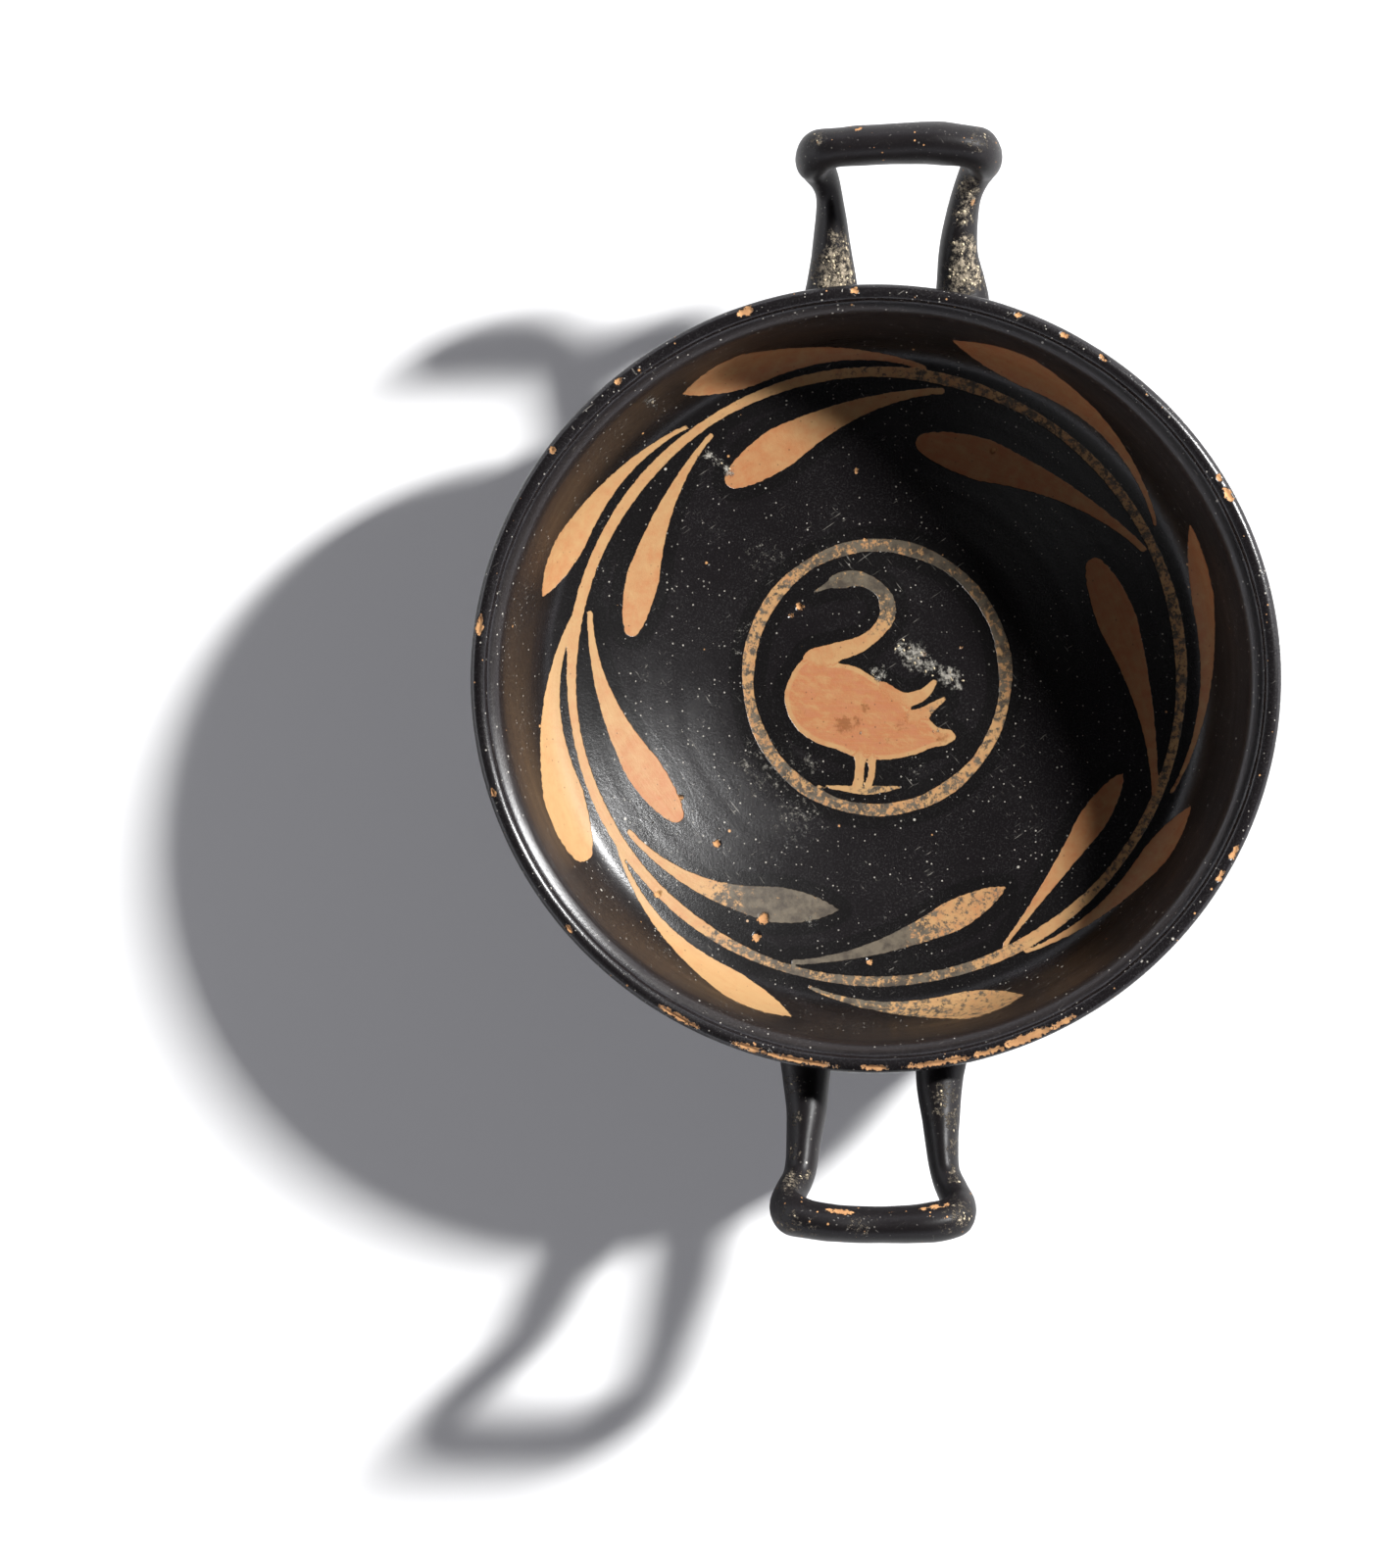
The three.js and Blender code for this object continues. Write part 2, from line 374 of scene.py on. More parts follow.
def laurel_wreath() -> list[Leaf]:
    """List the sixteen leaves: eight outside the stem, then eight inside it, all running the same way.

    Returns:
        The leaves, the outer ones first.
    """
    # The leaves on the right and upper right, where the rim's shadow falls, end at the strongest orange
    # (0.84). That redder tone is partly the clay's own and partly a painted shade tint.
    red, turning = (0.0, 0.0), (-0.15, 1.3)
    return [
        Leaf((60.2, 81), (65.5, 124), 4.6, 2.9, 0.9, red, (0.8, 0.6)),
        Leaf((60.3, 127), (65.4, 166), 3.8, 2.6, 0.8, red, (0.2, 0.5)),
        Leaf((58.8, 168), (65.3, 212), 5.4, 3.6, 0.45, red, (0.1, 0.2)),
        Leaf((58.7, 213), (66.1, 256), 5.4, 2.35, 0.9, red, (0.15, 0.15)),
        Leaf((60.3, 258), (66.3, 295), 3.5, 2.3, 0.9, (0.75, 0.3), (0.1, 0.3)),
        Leaf((59.6, 299), (64.9, 338), 3.6, 2.3, 0.9, red, (0.3, 0.84)),
        Leaf((60.6, 339), (66.5, 386), 5.2, 1.95, 0.8, red, (0.6, 0.84)),
        Leaf((61.1, 29), (65.9, 77), 7.0, 2.45, 0.9, red, (0.7, 0.84)),
        Leaf((56.6, 77), (47.1, 127), 3.5, 3.9, 0.5, red, (0.3, 0.75)),
        Leaf((56.3, 124), (47.8, 170), 2.9, 3.1, 0.5, red, (0.2, 0.6)),
        Leaf((56.1, 167), (46.4, 216), 3.8, 3.4, 0.5, red, (0.1, 0.8)),
        Leaf((55.5, 212), (45.0, 261), 4.8, 3.4, 0.9, turning, (0.3, 0.3)),
        Leaf((56.5, 254), (47.2, 302), 2.8, 2.9, 0.8, (1.8, 0.3), (0.2, 0.5)),
        Leaf((56.6, 296), (50.8, 339), 0.5, 2.6, 0.7, red, (0.4, 0.84)),
        Leaf((58.1, 337), (47.5, 389), 2.6, 3.7, 0.5, red, (0.65, 0.84)),
        Leaf((56.9, 26), (46.4, 80), 3.3, 4.0, 0.5, red, (0.65, 0.84)),
    ]


def swan() -> list[BrushStroke | Shape]:
    """Draw the swan of the middle, facing left, in one body form and a few strokes.

    Returns:
        The body, the neck and beak, two feathers, two legs and the ground.
    """
    body = [
        (-11.0, 5.9), (-14.4, 3.4), (-16.5, 0.3), (-17.5, -3.2), (-17.0, -6.4), (-15.1, -9.6),
        (-11.6, -12.2), (-7.4, -13.6), (-4.3, -14.9), (0.1, -15.6), (3.8, -15.4), (7.7, -14.6),
        (11.2, -13.2), (13.6, -12.7), (15.6, -11.3), (14.7, -9.9), (12.2, -9.4), (10.4, -7.8),
        (7.4, -6.6), (5.2, -3.8), (3.1, -2.0), (-0.4, 0.4), (-3.9, 2.4), (-7.4, 3.1), (-9.0, 3.2),
    ]
    neck = [
        (-7.7, 18.8, 1.3), (-6.1, 19.2, 1.6), (-3.8, 19.5, 1.5), (-1.1, 18.7, 1.3), (1.5, 16.6, 1.3),
        (2.4, 14.4, 1.55), (2.2, 11.8, 1.5), (0.1, 8.9, 1.3), (-3.2, 6.6, 1.55), (-7.9, 5.1, 1.85),
        (-11.4, 3.4, 2.6),
    ]
    beak = [(-7.7, 18.8, 1.1), (-9.6, 17.9, 0.5), (-11.8, 16.7, 0.23)]
    upper_feather = [(1.3, -2.8, 2.3), (5.5, -4.1, 1.5), (9.3, -2.9, 1.1), (11.4, -0.7, 0.55)]
    lower_feather = [(4.2, -8.0, 2.3), (8.1, -7.4, 1.6), (11.4, -5.1, 0.75), (13.4, -3.8, 0.38)]
    near_leg = [(-2.9, -13.8, 1.5), (-2.9, -16.5, 0.95), (-3.1, -18.8, 0.9), (-3.6, -21.0, 0.9)]
    far_leg = [(-0.4, -13.8, 1.1), (-0.6, -16.5, 0.7), (-0.7, -18.4, 0.68), (-1.4, -21.0, 0.68)]
    ground = [
        (-11.1, -20.6, 0.12), (-6.6, -21.1, 0.5), (-1.7, -21.5, 0.85), (1.3, -21.3, 0.65),
        (5.5, -20.8, 0.12),
    ]
    closed = spline([*body, body[0]], 5)[:-1]
    return [
        Shape(closed, 0.0, 0.9),
        BrushStroke(spline(neck, 6), (1.0, 0.0), (0.1, 0.5)),
        BrushStroke(spline(beak, 5), (1.0, 1.0), (0.1, 0.1)),
        BrushStroke(spline(upper_feather, 5), (0.0, 0.1), (0.8, 0.2)),
        BrushStroke(spline(lower_feather, 5), (0.1, 0.3), (0.8, 0.2)),
        BrushStroke(spline(near_leg, 4), (0.0, 0.0), (0.4, 0.2)),
        BrushStroke(spline(far_leg, 4), (0.1, 0.1), (0.4, 0.2)),
        BrushStroke(spline(ground, 4), (0.1, 0.5), (0.1, 0.1)),
    ]


class Decoration:
    """Everything left in the colour of the clay inside the cup."""

    def __init__(self) -> None:
        """Draw the wreath, the ring round the middle and the swan."""
        # From about 335° to 75° the rim's shadow falls inside the bowl. There the stem's grey is painted
        # shade, and the ring's deepest grey, from 20° to 60°, is painted shade over kiln grey. Elsewhere the
        # grey is clay that stayed grey in the kiln.
        stem_grey_and_shade = {0: 0.5, 75: 0.5, 100: 0.1, 230: 0.0, 248: 0.75, 285: 0.75, 303: 0.1, 335: 0.5}
        ring_grey_and_shade = {20: 0.75, 60: 0.9, 118: 0.72, 138: 0.4, 190: 0.42}
        ring_grey_and_shade |= {215: 0.6, 262: 0.7, 282: 0.5, 330: 0.42, 355: 0.6}
        self.stem = Band((0.15, 0.4), (58.4, 58.4), 0.95, stem_grey_and_shade, 0.3)
        self.ring = Band((0.3, 0.3), (24.9, 25.6), 1.2, ring_grey_and_shade, 0.35)
        self.marks = [leaf.stroke() for leaf in laurel_wreath()] + swan()

    def at(self, plan: np.ndarray) -> Paint:
        """Work out the painting at places on the inside.

        Args:
            plan: positions seen from above, in millimetres from the axis.

        Returns:
            The fields at those places.
        """
        paint = Paint.blank(len(plan))
        for mark in (self.stem, self.ring, *self.marks):
            mark.lay_on(paint, plan)
        return paint


# ---- Wear ---------------------------------------------------------------------------------------


@dataclass(frozen=True)
class RimChip:
    """A flake lost from the lip."""

    angle: float  # of its middle, in degrees
    length: float  # round the rim
    width: float = 1.0  # over the lip
    level: float = -0.5  # from the crest of the lip, towards the inside


@dataclass(frozen=True)
class Spot:
    """A round mark on the cup, in millimetres from the axis."""

    x: float
    y: float
    radius: float
    z: float | None = None  # None for a mark on the inside, seen from above
    strength: float = 1.0


def rim_chips() -> list[RimChip]:
    """List the flakes lost from the lip, each by its angle round the rim.

    Returns:
        The flakes.
    """
    return [
        RimChip(109, 2.6, 1.5, -0.3), RimChip(130, 1.1), RimChip(144, 0.9), RimChip(172, 3.4, 1.1),
        RimChip(240.6, 8.0, 0.8), RimChip(251.2, 4.8, 0.9), RimChip(258.8, 14.0, 0.75),
        RimChip(269.9, 4.4, 0.9), RimChip(279.4, 12.0, 0.9), RimChip(286.5, 6.0, 1.0),
        RimChip(292.4, 9.2, 1.6, -0.3), RimChip(298, 4.8, 0.8), RimChip(329.5, 2.0, 0.7),
        RimChip(333.5, 2.6, 0.8), RimChip(28.2, 2.4, 1.2), RimChip(31, 1.0, 0.8),
        RimChip(55.4, 1.1, 0.7), RimChip(61.9, 1.2, 0.7), RimChip(69.2, 0.9, 0.6), RimChip(93, 1.0, 0.8),
        RimChip(197, 1.4, 0.7), RimChip(220, 1.4, 0.7),
    ]


FLOOR_CHIPS = (
    Spot(-21.4, -46.2, 1.1), Spot(-22.7, -49.7, 0.8), Spot(-30.4, -31.8, 0.7), Spot(-14.7, 14.0, 0.75),
    Spot(-16.3, 12.2, 0.45), Spot(-1.1, -54.4, 0.55), Spot(-2.0, 27.0, 0.35), Spot(-3.6, 40.0, 0.4),
    Spot(9.3, 4.8, 0.5), Spot(-37.5, -23.0, 0.5), Spot(16.5, 6.0, 0.3), Spot(-41.5, -41.5, 0.6),
    Spot(13.0, 24.0, 0.25), Spot(22.5, 44.0, 0.6), Spot(-7.0, -28.3, 0.3),
)
HANDLE_CHIPS = (
    Spot(-3.1, 101.9, 0.75, 66.6), Spot(-3.4, 97.6, 0.8, 65.5), Spot(13.3, 97.0, 0.8, 65.0),
    Spot(18.5, 89.4, 0.7, 49.0), Spot(-8.6, -99.2, 0.8, 62.4), Spot(-5.8, -99.2, 0.9, 62.4),
    Spot(11.0, -98.4, 1.0, 61.0), Spot(13.4, -98.4, 0.9, 60.4), Spot(-7.2, -99.2, 0.8, 62.6),
    Spot(-4.4, -99.3, 0.7, 62.5), Spot(8.8, -98.6, 0.8, 61.4), Spot(15.9, -101.9, 0.7, 60.0),
    Spot(-15.0, -105.1, 0.8, 59.0), Spot(3.0, -98.9, 0.5, 62.0), Spot(0.6, 103.2, 0.4, 63.0),
)
HANDLE_LIME = (
    Spot(-7.4, 77.0, 3.9), Spot(-6.6, 82.0, 2.4, None, 0.8), Spot(-8.8, 73.0, 2.6, None, 0.7),
    Spot(17.2, 76.5, 3.2), Spot(17.0, 81.0, 2.2), Spot(16.4, 87.0, 1.8, None, 0.85),
    Spot(17.6, 91.8, 2.2, None, 0.9), Spot(15.0, 73.5, 2.8, None, 0.8),
    Spot(-15.8, -94.4, 1.9, None, 0.85), Spot(-15.4, -77.0, 1.8, None, 0.65),
    Spot(-15.4, -83.0, 1.4, None, 0.68), Spot(-15.0, -89.0, 1.3, None, 0.7),
    Spot(-12.6, -93.5, 1.2, None, 0.75), Spot(13.2, -78.5, 2.2, None, 0.74),
    Spot(15.0, -83.0, 1.9, None, 0.78), Spot(15.2, -88.0, 1.6, None, 0.76),
    Spot(15.4, -93.0, 1.6, None, 0.76), Spot(12.0, -82.0, 1.6, None, 0.66),
    Spot(-15.8, -101.4, 2.4, None, 0.7), Spot(15.9, -99.6, 2.2, None, 0.78),
    Spot(-2.4, -101.6, 2.0, None, 0.62), Spot(-12.4, -102.6, 1.8, None, 0.62),
    Spot(13.6, -101.8, 1.6, None, 0.6), Spot(19.0, 99.6, 1.8, None, 0.7),
    Spot(-10.6, 99.8, 1.6, None, 0.7),
)
LIME_PATCHES = (
    Spot(7.5, 4.4, 3.4), Spot(10.2, 2.6, 2.4), Spot(14.2, 0.6, 2.6), Spot(16.0, -1.4, 1.4),
    Spot(4.7, 6.0, 1.6), Spot(0.7, 0.9, 2.2, None, 0.9), Spot(-32.0, 43.0, 1.3), Spot(-30.2, 41.6, 1.3),
    Spot(-28.2, 40.0, 1.5), Spot(-42.5, 52.5, 1.7, None, 0.8), Spot(-5.0, -24.8, 3.0, None, 0.55),
    Spot(-72.0, 17.5, 2.6, None, 0.8), Spot(-12.0, -28.0, 5.0, None, 0.42),
    Spot(-2.6, -10.5, 0.9, None, 0.75), Spot(-19.0, -36.0, 2.4, None, 0.5),
    Spot(-12.0, -46.5, 2.2, None, 0.6), Spot(-50.0, -38.0, 3.0, None, 0.5),
    Spot(-40.0, -52.0, 2.2, None, 0.55), Spot(-13.0, 26.0, 4.0, None, 0.4),
    Spot(-21.0, -17.0, 9.0, None, 0.6), Spot(-15.0, -27.0, 7.0, None, 0.6),
    Spot(-25.0, 7.0, 5.0, None, 0.56), Spot(-21.0, 23.0, 6.0, None, 0.55),
    Spot(-13.0, -16.5, 3.4, None, 0.62), Spot(8.0, -16.8, 3.0, None, 0.56),
    Spot(12.0, -9.8, 1.8, None, 0.6), Spot(-44.0, -26.0, 4.0, None, 0.42),
)
STAINS = (
    Spot(-1.9, -5.7, 1.1), Spot(-5.9, -8.9, 1.9), Spot(-3.7, -8.3, 1.2),
    Spot(12.6, -11.3, 1.6, None, 0.7), Spot(5.4, -9.0, 2.2, None, 0.5),
    Spot(-13.6, -6.0, 1.6, None, 0.4), Spot(1.5, -12.0, 2.0, None, 0.4),
)


# ---- The bowl -----------------------------------------------------------------------------------


@dataclass(frozen=True)
class BowlSizes:
    """Sizes of the thrown bowl and its ring foot."""

    rim_radius: float = 76.1
    rim_height: float = 52.0
    ovalness: float = 0.0275  # how much narrower the rim is along the handles
    lip_radius: float = 1.55
    foot_height: float = 8.4
    underside: Profile = ((0.0, 7.6), (23.6, 7.3), (28.0, 4.6))
    rest: Profile = ((29.6, 0.0), (33.4, 0.0))
    foot: Profile = ((33.4, 0.0), (35.0, 2.52), (34.6, 5.71), (32.6, 8.4))
    outside: Profile = (
        (32.6, 8.4), (40.0, 11.9), (50.0, 16.8), (60.0, 21.7), (67.0, 26.7), (70.2, 33.0), (71.8, 40.0),
        (73.4, 46.5),
    )
    inside: Profile = (
        (72.9, 50.15), (71.6, 49.35), (70.4, 48.1), (69.5, 45.0), (68.4, 40.0), (67.2, 34.5),
        (65.4, 29.6), (62.6, 26.3), (58.5, 24.4), (49.0, 20.8), (38.0, 16.9), (27.0, 14.0), (14.0, 13.4),
        (0.0, 13.2),
    )
    softening: float = 0.3  # worn radius of the corners
    groove_radius: float = 73.0  # line turned inside the lip
    groove_depth: float = 0.08
    groove_width: float = 0.32
    ridge_offset: float = 0.95  # ridge that the groove's tool pushed up beside it
    ridge_height: float = 0.1
    ridge_width: float = 0.5
    throwing_wave: float = 0.006  # height of the wheel marks
    hand_wobble: float = 0.12  # how far the wall strays from true
    flake_depth: float = 0.42
    root_radius: float = 4.2  # clay smeared round each handle root
    root_swell: float = 1.5
    root_spread: float = 2.0


@dataclass(frozen=True)
class EdgeLengths:
    """How fine the skin of the bowl is, in millimetres between its points."""

    inside: float = 1.8
    outside: float = 2.8
    lip: float = 0.72
    corner: float = 0.6
    underside: float = 0.7
    figure: float = 0.52
    flake: float = 0.45


class Bowl:
    """The thrown bowl: one closed section turned round the axis, with its hand-made irregularities."""

    def __init__(self, sizes: BowlSizes, roots: list[np.ndarray]) -> None:
        """Work out the section.

        Args:
            sizes: sizes of the bowl.
            roots: middle of each handle root on the wall, in millimetres.
        """
        self.sizes = sizes
        self.roots = roots
        self.decoration = Decoration()
        self.chips = rim_chips()
        lip = np.array([sizes.rim_radius - sizes.lip_radius, sizes.rim_height - sizes.lip_radius])
        turn = np.linspace(-0.2, 0.92, 24) * np.pi
        arc = lip + sizes.lip_radius * np.column_stack([np.cos(turn), np.sin(turn)])
        line = np.vstack(
            [
                spline(sizes.underside, 24, 0, False),
                np.array(sizes.rest),
                spline(sizes.foot, 16, 0, False),
                spline([*sizes.outside, tuple(arc[0])], 24, 0, False),
                arc[1:-1],
                spline([tuple(arc[-1]), *sizes.inside], 24, 0, False),
            ]
        )
        step = 0.1
        gone = np.concatenate([[0], np.cumsum(np.linalg.norm(np.diff(line, axis=0), axis=1))])
        keep = np.concatenate([[True], np.diff(gone) > 1e-6])
        gone, line = gone[keep], line[keep]
        self.arc = np.linspace(0, gone[-1], int(gone[-1] / step) + 1)
        radius = np.interp(self.arc, gone, line[:, 0])
        height = np.interp(self.arc, gone, line[:, 1])
        reach = int(4 * sizes.softening / step)
        weight = np.exp(-0.5 * (np.arange(-reach, reach + 1) * step / sizes.softening) ** 2)
        weight /= weight.sum()
        radius = np.concatenate([-radius[reach:0:-1], radius, -radius[-2 : -reach - 2 : -1]])
        height = np.concatenate([height[reach:0:-1], height, height[-2 : -reach - 2 : -1]])
        self.radius = np.maximum(np.convolve(radius, weight, "valid"), 0)
        self.height = np.convolve(height, weight, "valid")
        self.length = float(self.arc[-1])
        self.crest = float(self.arc[np.argmax(self.height)])
        self.rest_edge = float(self.arc[np.argmax(self.radius > sizes.rest[0][0] - 1.2)])
        self.groove = self.inside_arc(sizes.groove_radius)

    def inside_arc(self, radius: float) -> float:
        """Find how far along the section the inside has a radius."""
        inner = self.arc >= self.crest
        return float(np.interp(-radius, -self.radius[inner], self.arc[inner]))

    def split(self, ball: np.ndarray) -> tuple[np.ndarray, np.ndarray]:
        """Read places on the unit ball as directions round the cup and lengths along the section.

        Args:
            ball: points on the unit ball, whose south pole is the middle of the underside.

        Returns:
            Unit directions in plan, and the lengths along the section.
        """
        across = np.hypot(ball[:, 0], ball[:, 1])
        heading = ball[:, :2] / np.maximum(across, 1e-9)[:, None]
        heading[across < 1e-9] = (1.0, 0.0)
        return heading, np.arctan2(across, -ball[:, 2]) / np.pi * self.length

    def place(self, heading: np.ndarray, arc: np.ndarray) -> np.ndarray:
        """Put places of the section in space.

        Args:
            heading: unit directions in plan.
            arc: lengths along the section.

        Returns:
            Positions in millimetres from the axis.
        """
        s = self.sizes
        arc = np.clip(arc, 0, self.length)
        radius, height = np.interp(arc, self.arc, self.radius), np.interp(arc, self.arc, self.height)
        ahead, behind = np.clip(arc + 0.1, 0, self.length), np.clip(arc - 0.1, 0, self.length)
        slope = np.column_stack([
            np.interp(ahead, self.arc, self.radius) - np.interp(behind, self.arc, self.radius),
            np.interp(ahead, self.arc, self.height) - np.interp(behind, self.arc, self.height),
        ])
        slope /= np.maximum(np.linalg.norm(slope, axis=1), 1e-9)[:, None]
        angle = np.arctan2(heading[:, 1], heading[:, 0])
        inside = ramp(arc, self.crest, self.crest + 4)
        wheel = np.sin(arc * 1.55 + 0.5 * np.sin(angle)) + 0.7 * np.sin(arc * 0.83 + angle + 1.3)
        lift = s.throwing_wave * wheel * ramp(np.abs(arc - self.crest), 3, 12) * ramp(radius, 4, 16)
        lift -= s.groove_depth * np.exp(-(((arc - self.groove) / s.groove_width) ** 2))
        lift += s.ridge_height * np.exp(-(((arc - self.groove + s.ridge_offset) / s.ridge_width) ** 2))
        lift += inside * s.hand_wobble * np.sin(3 * angle + 0.6) * ramp(radius, 10, 50)
        lift -= s.flake_depth * ramp(self.chip_depth(heading, arc, radius), -0.05, 0.55)
        radius = radius + lift * slope[:, 1]
        height = height - lift * slope[:, 0]
        narrow = 1 - s.ovalness * np.clip((height - s.foot_height) / (s.rim_height - s.foot_height), 0, 1)
        spot = np.column_stack([radius * heading[:, 0], radius * heading[:, 1] * narrow, height])
        outer = (arc < self.crest - 2) & (arc > self.rest_edge)
        for root in self.roots:
            gap = np.linalg.norm((spot - root) * (1, 0.4, 1), axis=1)
            fade = np.exp(-((np.maximum(gap - s.root_radius, 0) / s.root_spread) ** 2))
            spot[:, :2] += heading * np.where(outer, s.root_swell * fade, 0)[:, None]
        return spot

    def chip_depth(self, heading: np.ndarray, arc: np.ndarray, radius: np.ndarray) -> np.ndarray:
        """Measure how deep places are in a flake of the lip or of the floor.

        Args:
            heading: unit directions in plan.
            arc: lengths along the section.
            radius: distance from the axis.

        Returns:
            Millimetres inside a flake, negative outside, never under -1.5.
        """
        depth = np.full(len(arc), NO_CHIP)
        near_lip = np.flatnonzero(np.abs(arc - self.crest) < 6)
        angle = np.degrees(np.arctan2(heading[near_lip, 1], heading[near_lip, 0]))
        for chip in self.chips:
            away = np.radians((angle - chip.angle + 180) % 360 - 180) * self.sizes.rim_radius
            hit = np.abs(away) < chip.length + 3
            over = arc[near_lip[hit]] - self.crest - chip.level
            here = 1 - np.hypot((away[hit] / (chip.length / 2 + 0.3)) ** 2, over / (chip.width / 2 + 0.2))
            depth[near_lip[hit]] = np.maximum(depth[near_lip[hit]], here * (chip.width / 2 + 0.2))
        plan = heading * radius[:, None]
        floor = arc > self.crest + 6
        for spot in FLOOR_CHIPS:
            here = spot.radius - np.hypot(plan[:, 0] - spot.x, plan[:, 1] - spot.y)
            depth = np.where(floor, np.maximum(depth, here), depth)
        return depth

    def underside_depth(self, radius: np.ndarray) -> np.ndarray:
        """Measure how deep places under the foot are in bare clay.

        Args:
            radius: distance from the axis.

        Returns:
            Millimetres inside bare clay, negative in the two black rings and the dot.
        """
        rings = ((0.0, 1.6), (9.0, 0.7), (20.5, 1.4))
        black = np.max([half - np.abs(radius - middle) for middle, half in rings], axis=0)
        return np.clip(-black, NO_FIGURE, 4)

    def ideal_edge(self, ball: np.ndarray) -> np.ndarray:
        """Say how long an edge of the mesh may be at each place.

        Args:
            ball: points on the unit ball.

        Returns:
            Lengths in millimetres.
        """
        heading, arc = self.split(ball)
        spot = self.place(heading, arc)
        inner = arc > self.crest
        edge = EdgeLengths()
        fit = np.where(inner, edge.inside, edge.outside)
        fit = np.minimum(fit, edge.lip + 0.45 * np.maximum(np.abs(arc - self.crest - 0.6) - 3.2, 0))
        for r, z in (*self.sizes.rest, self.sizes.foot[-1]):
            away = np.hypot(self.radius - r, self.height - z) + (self.arc > self.crest) * 9
            fit = np.minimum(fit, edge.corner + 0.5 * np.abs(arc - self.arc[np.argmin(away)]))
        radius = np.hypot(spot[:, 0], spot[:, 1])
        under = np.abs(self.underside_depth(radius))
        fit = np.where(arc < self.rest_edge, np.minimum(fit, edge.underside + 0.6 * under), fit)
        near = np.flatnonzero(inner & (radius < 69))
        depth = np.abs(self.decoration.at(spot[near, :2]).depth)
        fit[near] = np.minimum(fit[near], edge.figure + 0.7 * np.maximum(depth - 0.4, 0))
        chip = np.abs(self.chip_depth(heading, arc, radius))
        return np.minimum(fit, edge.flake + 0.8 * np.maximum(chip - 0.35, 0))

    def mesh(self) -> tuple[np.ndarray, np.ndarray, np.ndarray]:
        """Build the bowl as one closed skin, finest where there is something to see.

        Returns:
            Points on the unit ball, positions in millimetres, and triangles.
        """
        form = bmesh.new()
        bmesh.ops.create_icosphere(form, subdivisions=5, radius=1)
        ball = np.array([v.co[:] for v in form.verts])
        faces = np.array([[v.index for v in f.verts] for f in form.faces])
        form.free()
        for _ in range(6):
            ball, faces, changed = split_long_edges(
                ball, faces, lambda b: self.place(*self.split(b)), self.ideal_edge
            )
            if not changed:
                break
        return ball, self.place(*self.split(ball)), faces

    def normals(self, ball: np.ndarray) -> np.ndarray:
        """Work out true surface normals from the section, not from the triangles.

        Args:
            ball: points on the unit ball.

        Returns:
            Unit normals that point out of the clay.
        """
        heading, arc = self.split(ball)
        radius = np.maximum(np.interp(arc, self.arc, self.radius), 0.3)
        step = 0.12
        turn = step / radius
        side = np.column_stack([-heading[:, 1], heading[:, 0]])
        ways = []
        for move in ((turn, 0.0), (-turn, 0.0), (0.0, step), (0.0, -step)):
            bent = heading + side * np.broadcast_to(np.asarray(move[0]), len(arc))[:, None]
            bent /= np.linalg.norm(bent, axis=1)[:, None]
            ways.append(self.place(bent, arc + move[1]))
        normal = np.cross(ways[0] - ways[1], ways[2] - ways[3])
        normal /= np.maximum(np.linalg.norm(normal, axis=1), 1e-12)[:, None]
        normal[radius < 1.0] = np.where(arc[radius < 1.0, None] < self.crest, (0, 0, -1.0), (0, 0, 1.0))
        return normal


def split_long_edges(
    ball: np.ndarray,
    faces: np.ndarray,
    place: Callable[[np.ndarray], np.ndarray],
    ideal_edge: Callable[[np.ndarray], np.ndarray],
) -> tuple[np.ndarray, np.ndarray, bool]:
    """Halve each edge that is too long, and keep the skin closed.

    Args:
        ball: points on the unit ball.
        faces: triangles.
        place: gives the position of points of the ball.
        ideal_edge: gives the longest edge allowed at points of the ball.

    Returns:
        The new points and triangles, and whether anything changed.
    """
    ends = np.sort(faces[:, [0, 1, 1, 2, 2, 0]].reshape(-1, 2), axis=1)
    edges, number = np.unique(ends, axis=0, return_inverse=True)
    number = number.reshape(-1, 3)
    spots = place(ball)
    length = np.linalg.norm(spots[edges[:, 0]] - spots[edges[:, 1]], axis=1)
    middle = ball[edges[:, 0]] + ball[edges[:, 1]]
    middle /= np.linalg.norm(middle, axis=1)[:, None]
    mark = length > ideal_edge(middle) * EDGE_SLACK
    if not mark.any():
        return ball, faces, False
    longest = number[np.arange(len(faces)), np.argmax(length[number], axis=1)]
    for _ in range(12):
        touched = mark[number].any(axis=1)
        if mark[longest[touched]].all():
            break
        mark[longest[touched]] = True
    fresh = np.full(len(edges), -1)
    fresh[mark] = len(ball) + np.arange(mark.sum())
    ball = np.vstack([ball, middle[mark]])
    cut = mark[number]
    made = [faces[~cut.any(axis=1)]]
    for turn in range(3):
        order = [turn, (turn + 1) % 3, (turn + 2) % 3]
        v, m = faces[:, order], fresh[number[:, order]]
        lone = (cut[:, order] == (True, False, False)).all(axis=1)
        made += [
            np.column_stack([v[lone, 0], m[lone, 0], v[lone, 2]]),
            np.column_stack([m[lone, 0], v[lone, 1], v[lone, 2]]),
        ]
        pair = (cut[:, order] == (True, True, False)).all(axis=1)
        made += [
            np.column_stack([m[pair, 0], v[pair, 1], m[pair, 1]]),
            np.column_stack([v[pair, 0], m[pair, 0], m[pair, 1]]),
            np.column_stack([v[pair, 0], m[pair, 1], v[pair, 2]]),
        ]
    whole = cut.all(axis=1)
    v, m = faces[whole], fresh[number[whole]]
    made += [
        np.column_stack([v[:, 0], m[:, 0], m[:, 2]]),
        np.column_stack([m[:, 0], v[:, 1], m[:, 1]]),
        np.column_stack([m[:, 2], m[:, 1], v[:, 2]]),
        m,
    ]
    return ball, np.vstack(made), True


# ---- The handles --------------------------------------------------------------------------------


class Side(Enum):
    """Which way along Y a handle points."""

    NORTH = 1
    SOUTH = -1


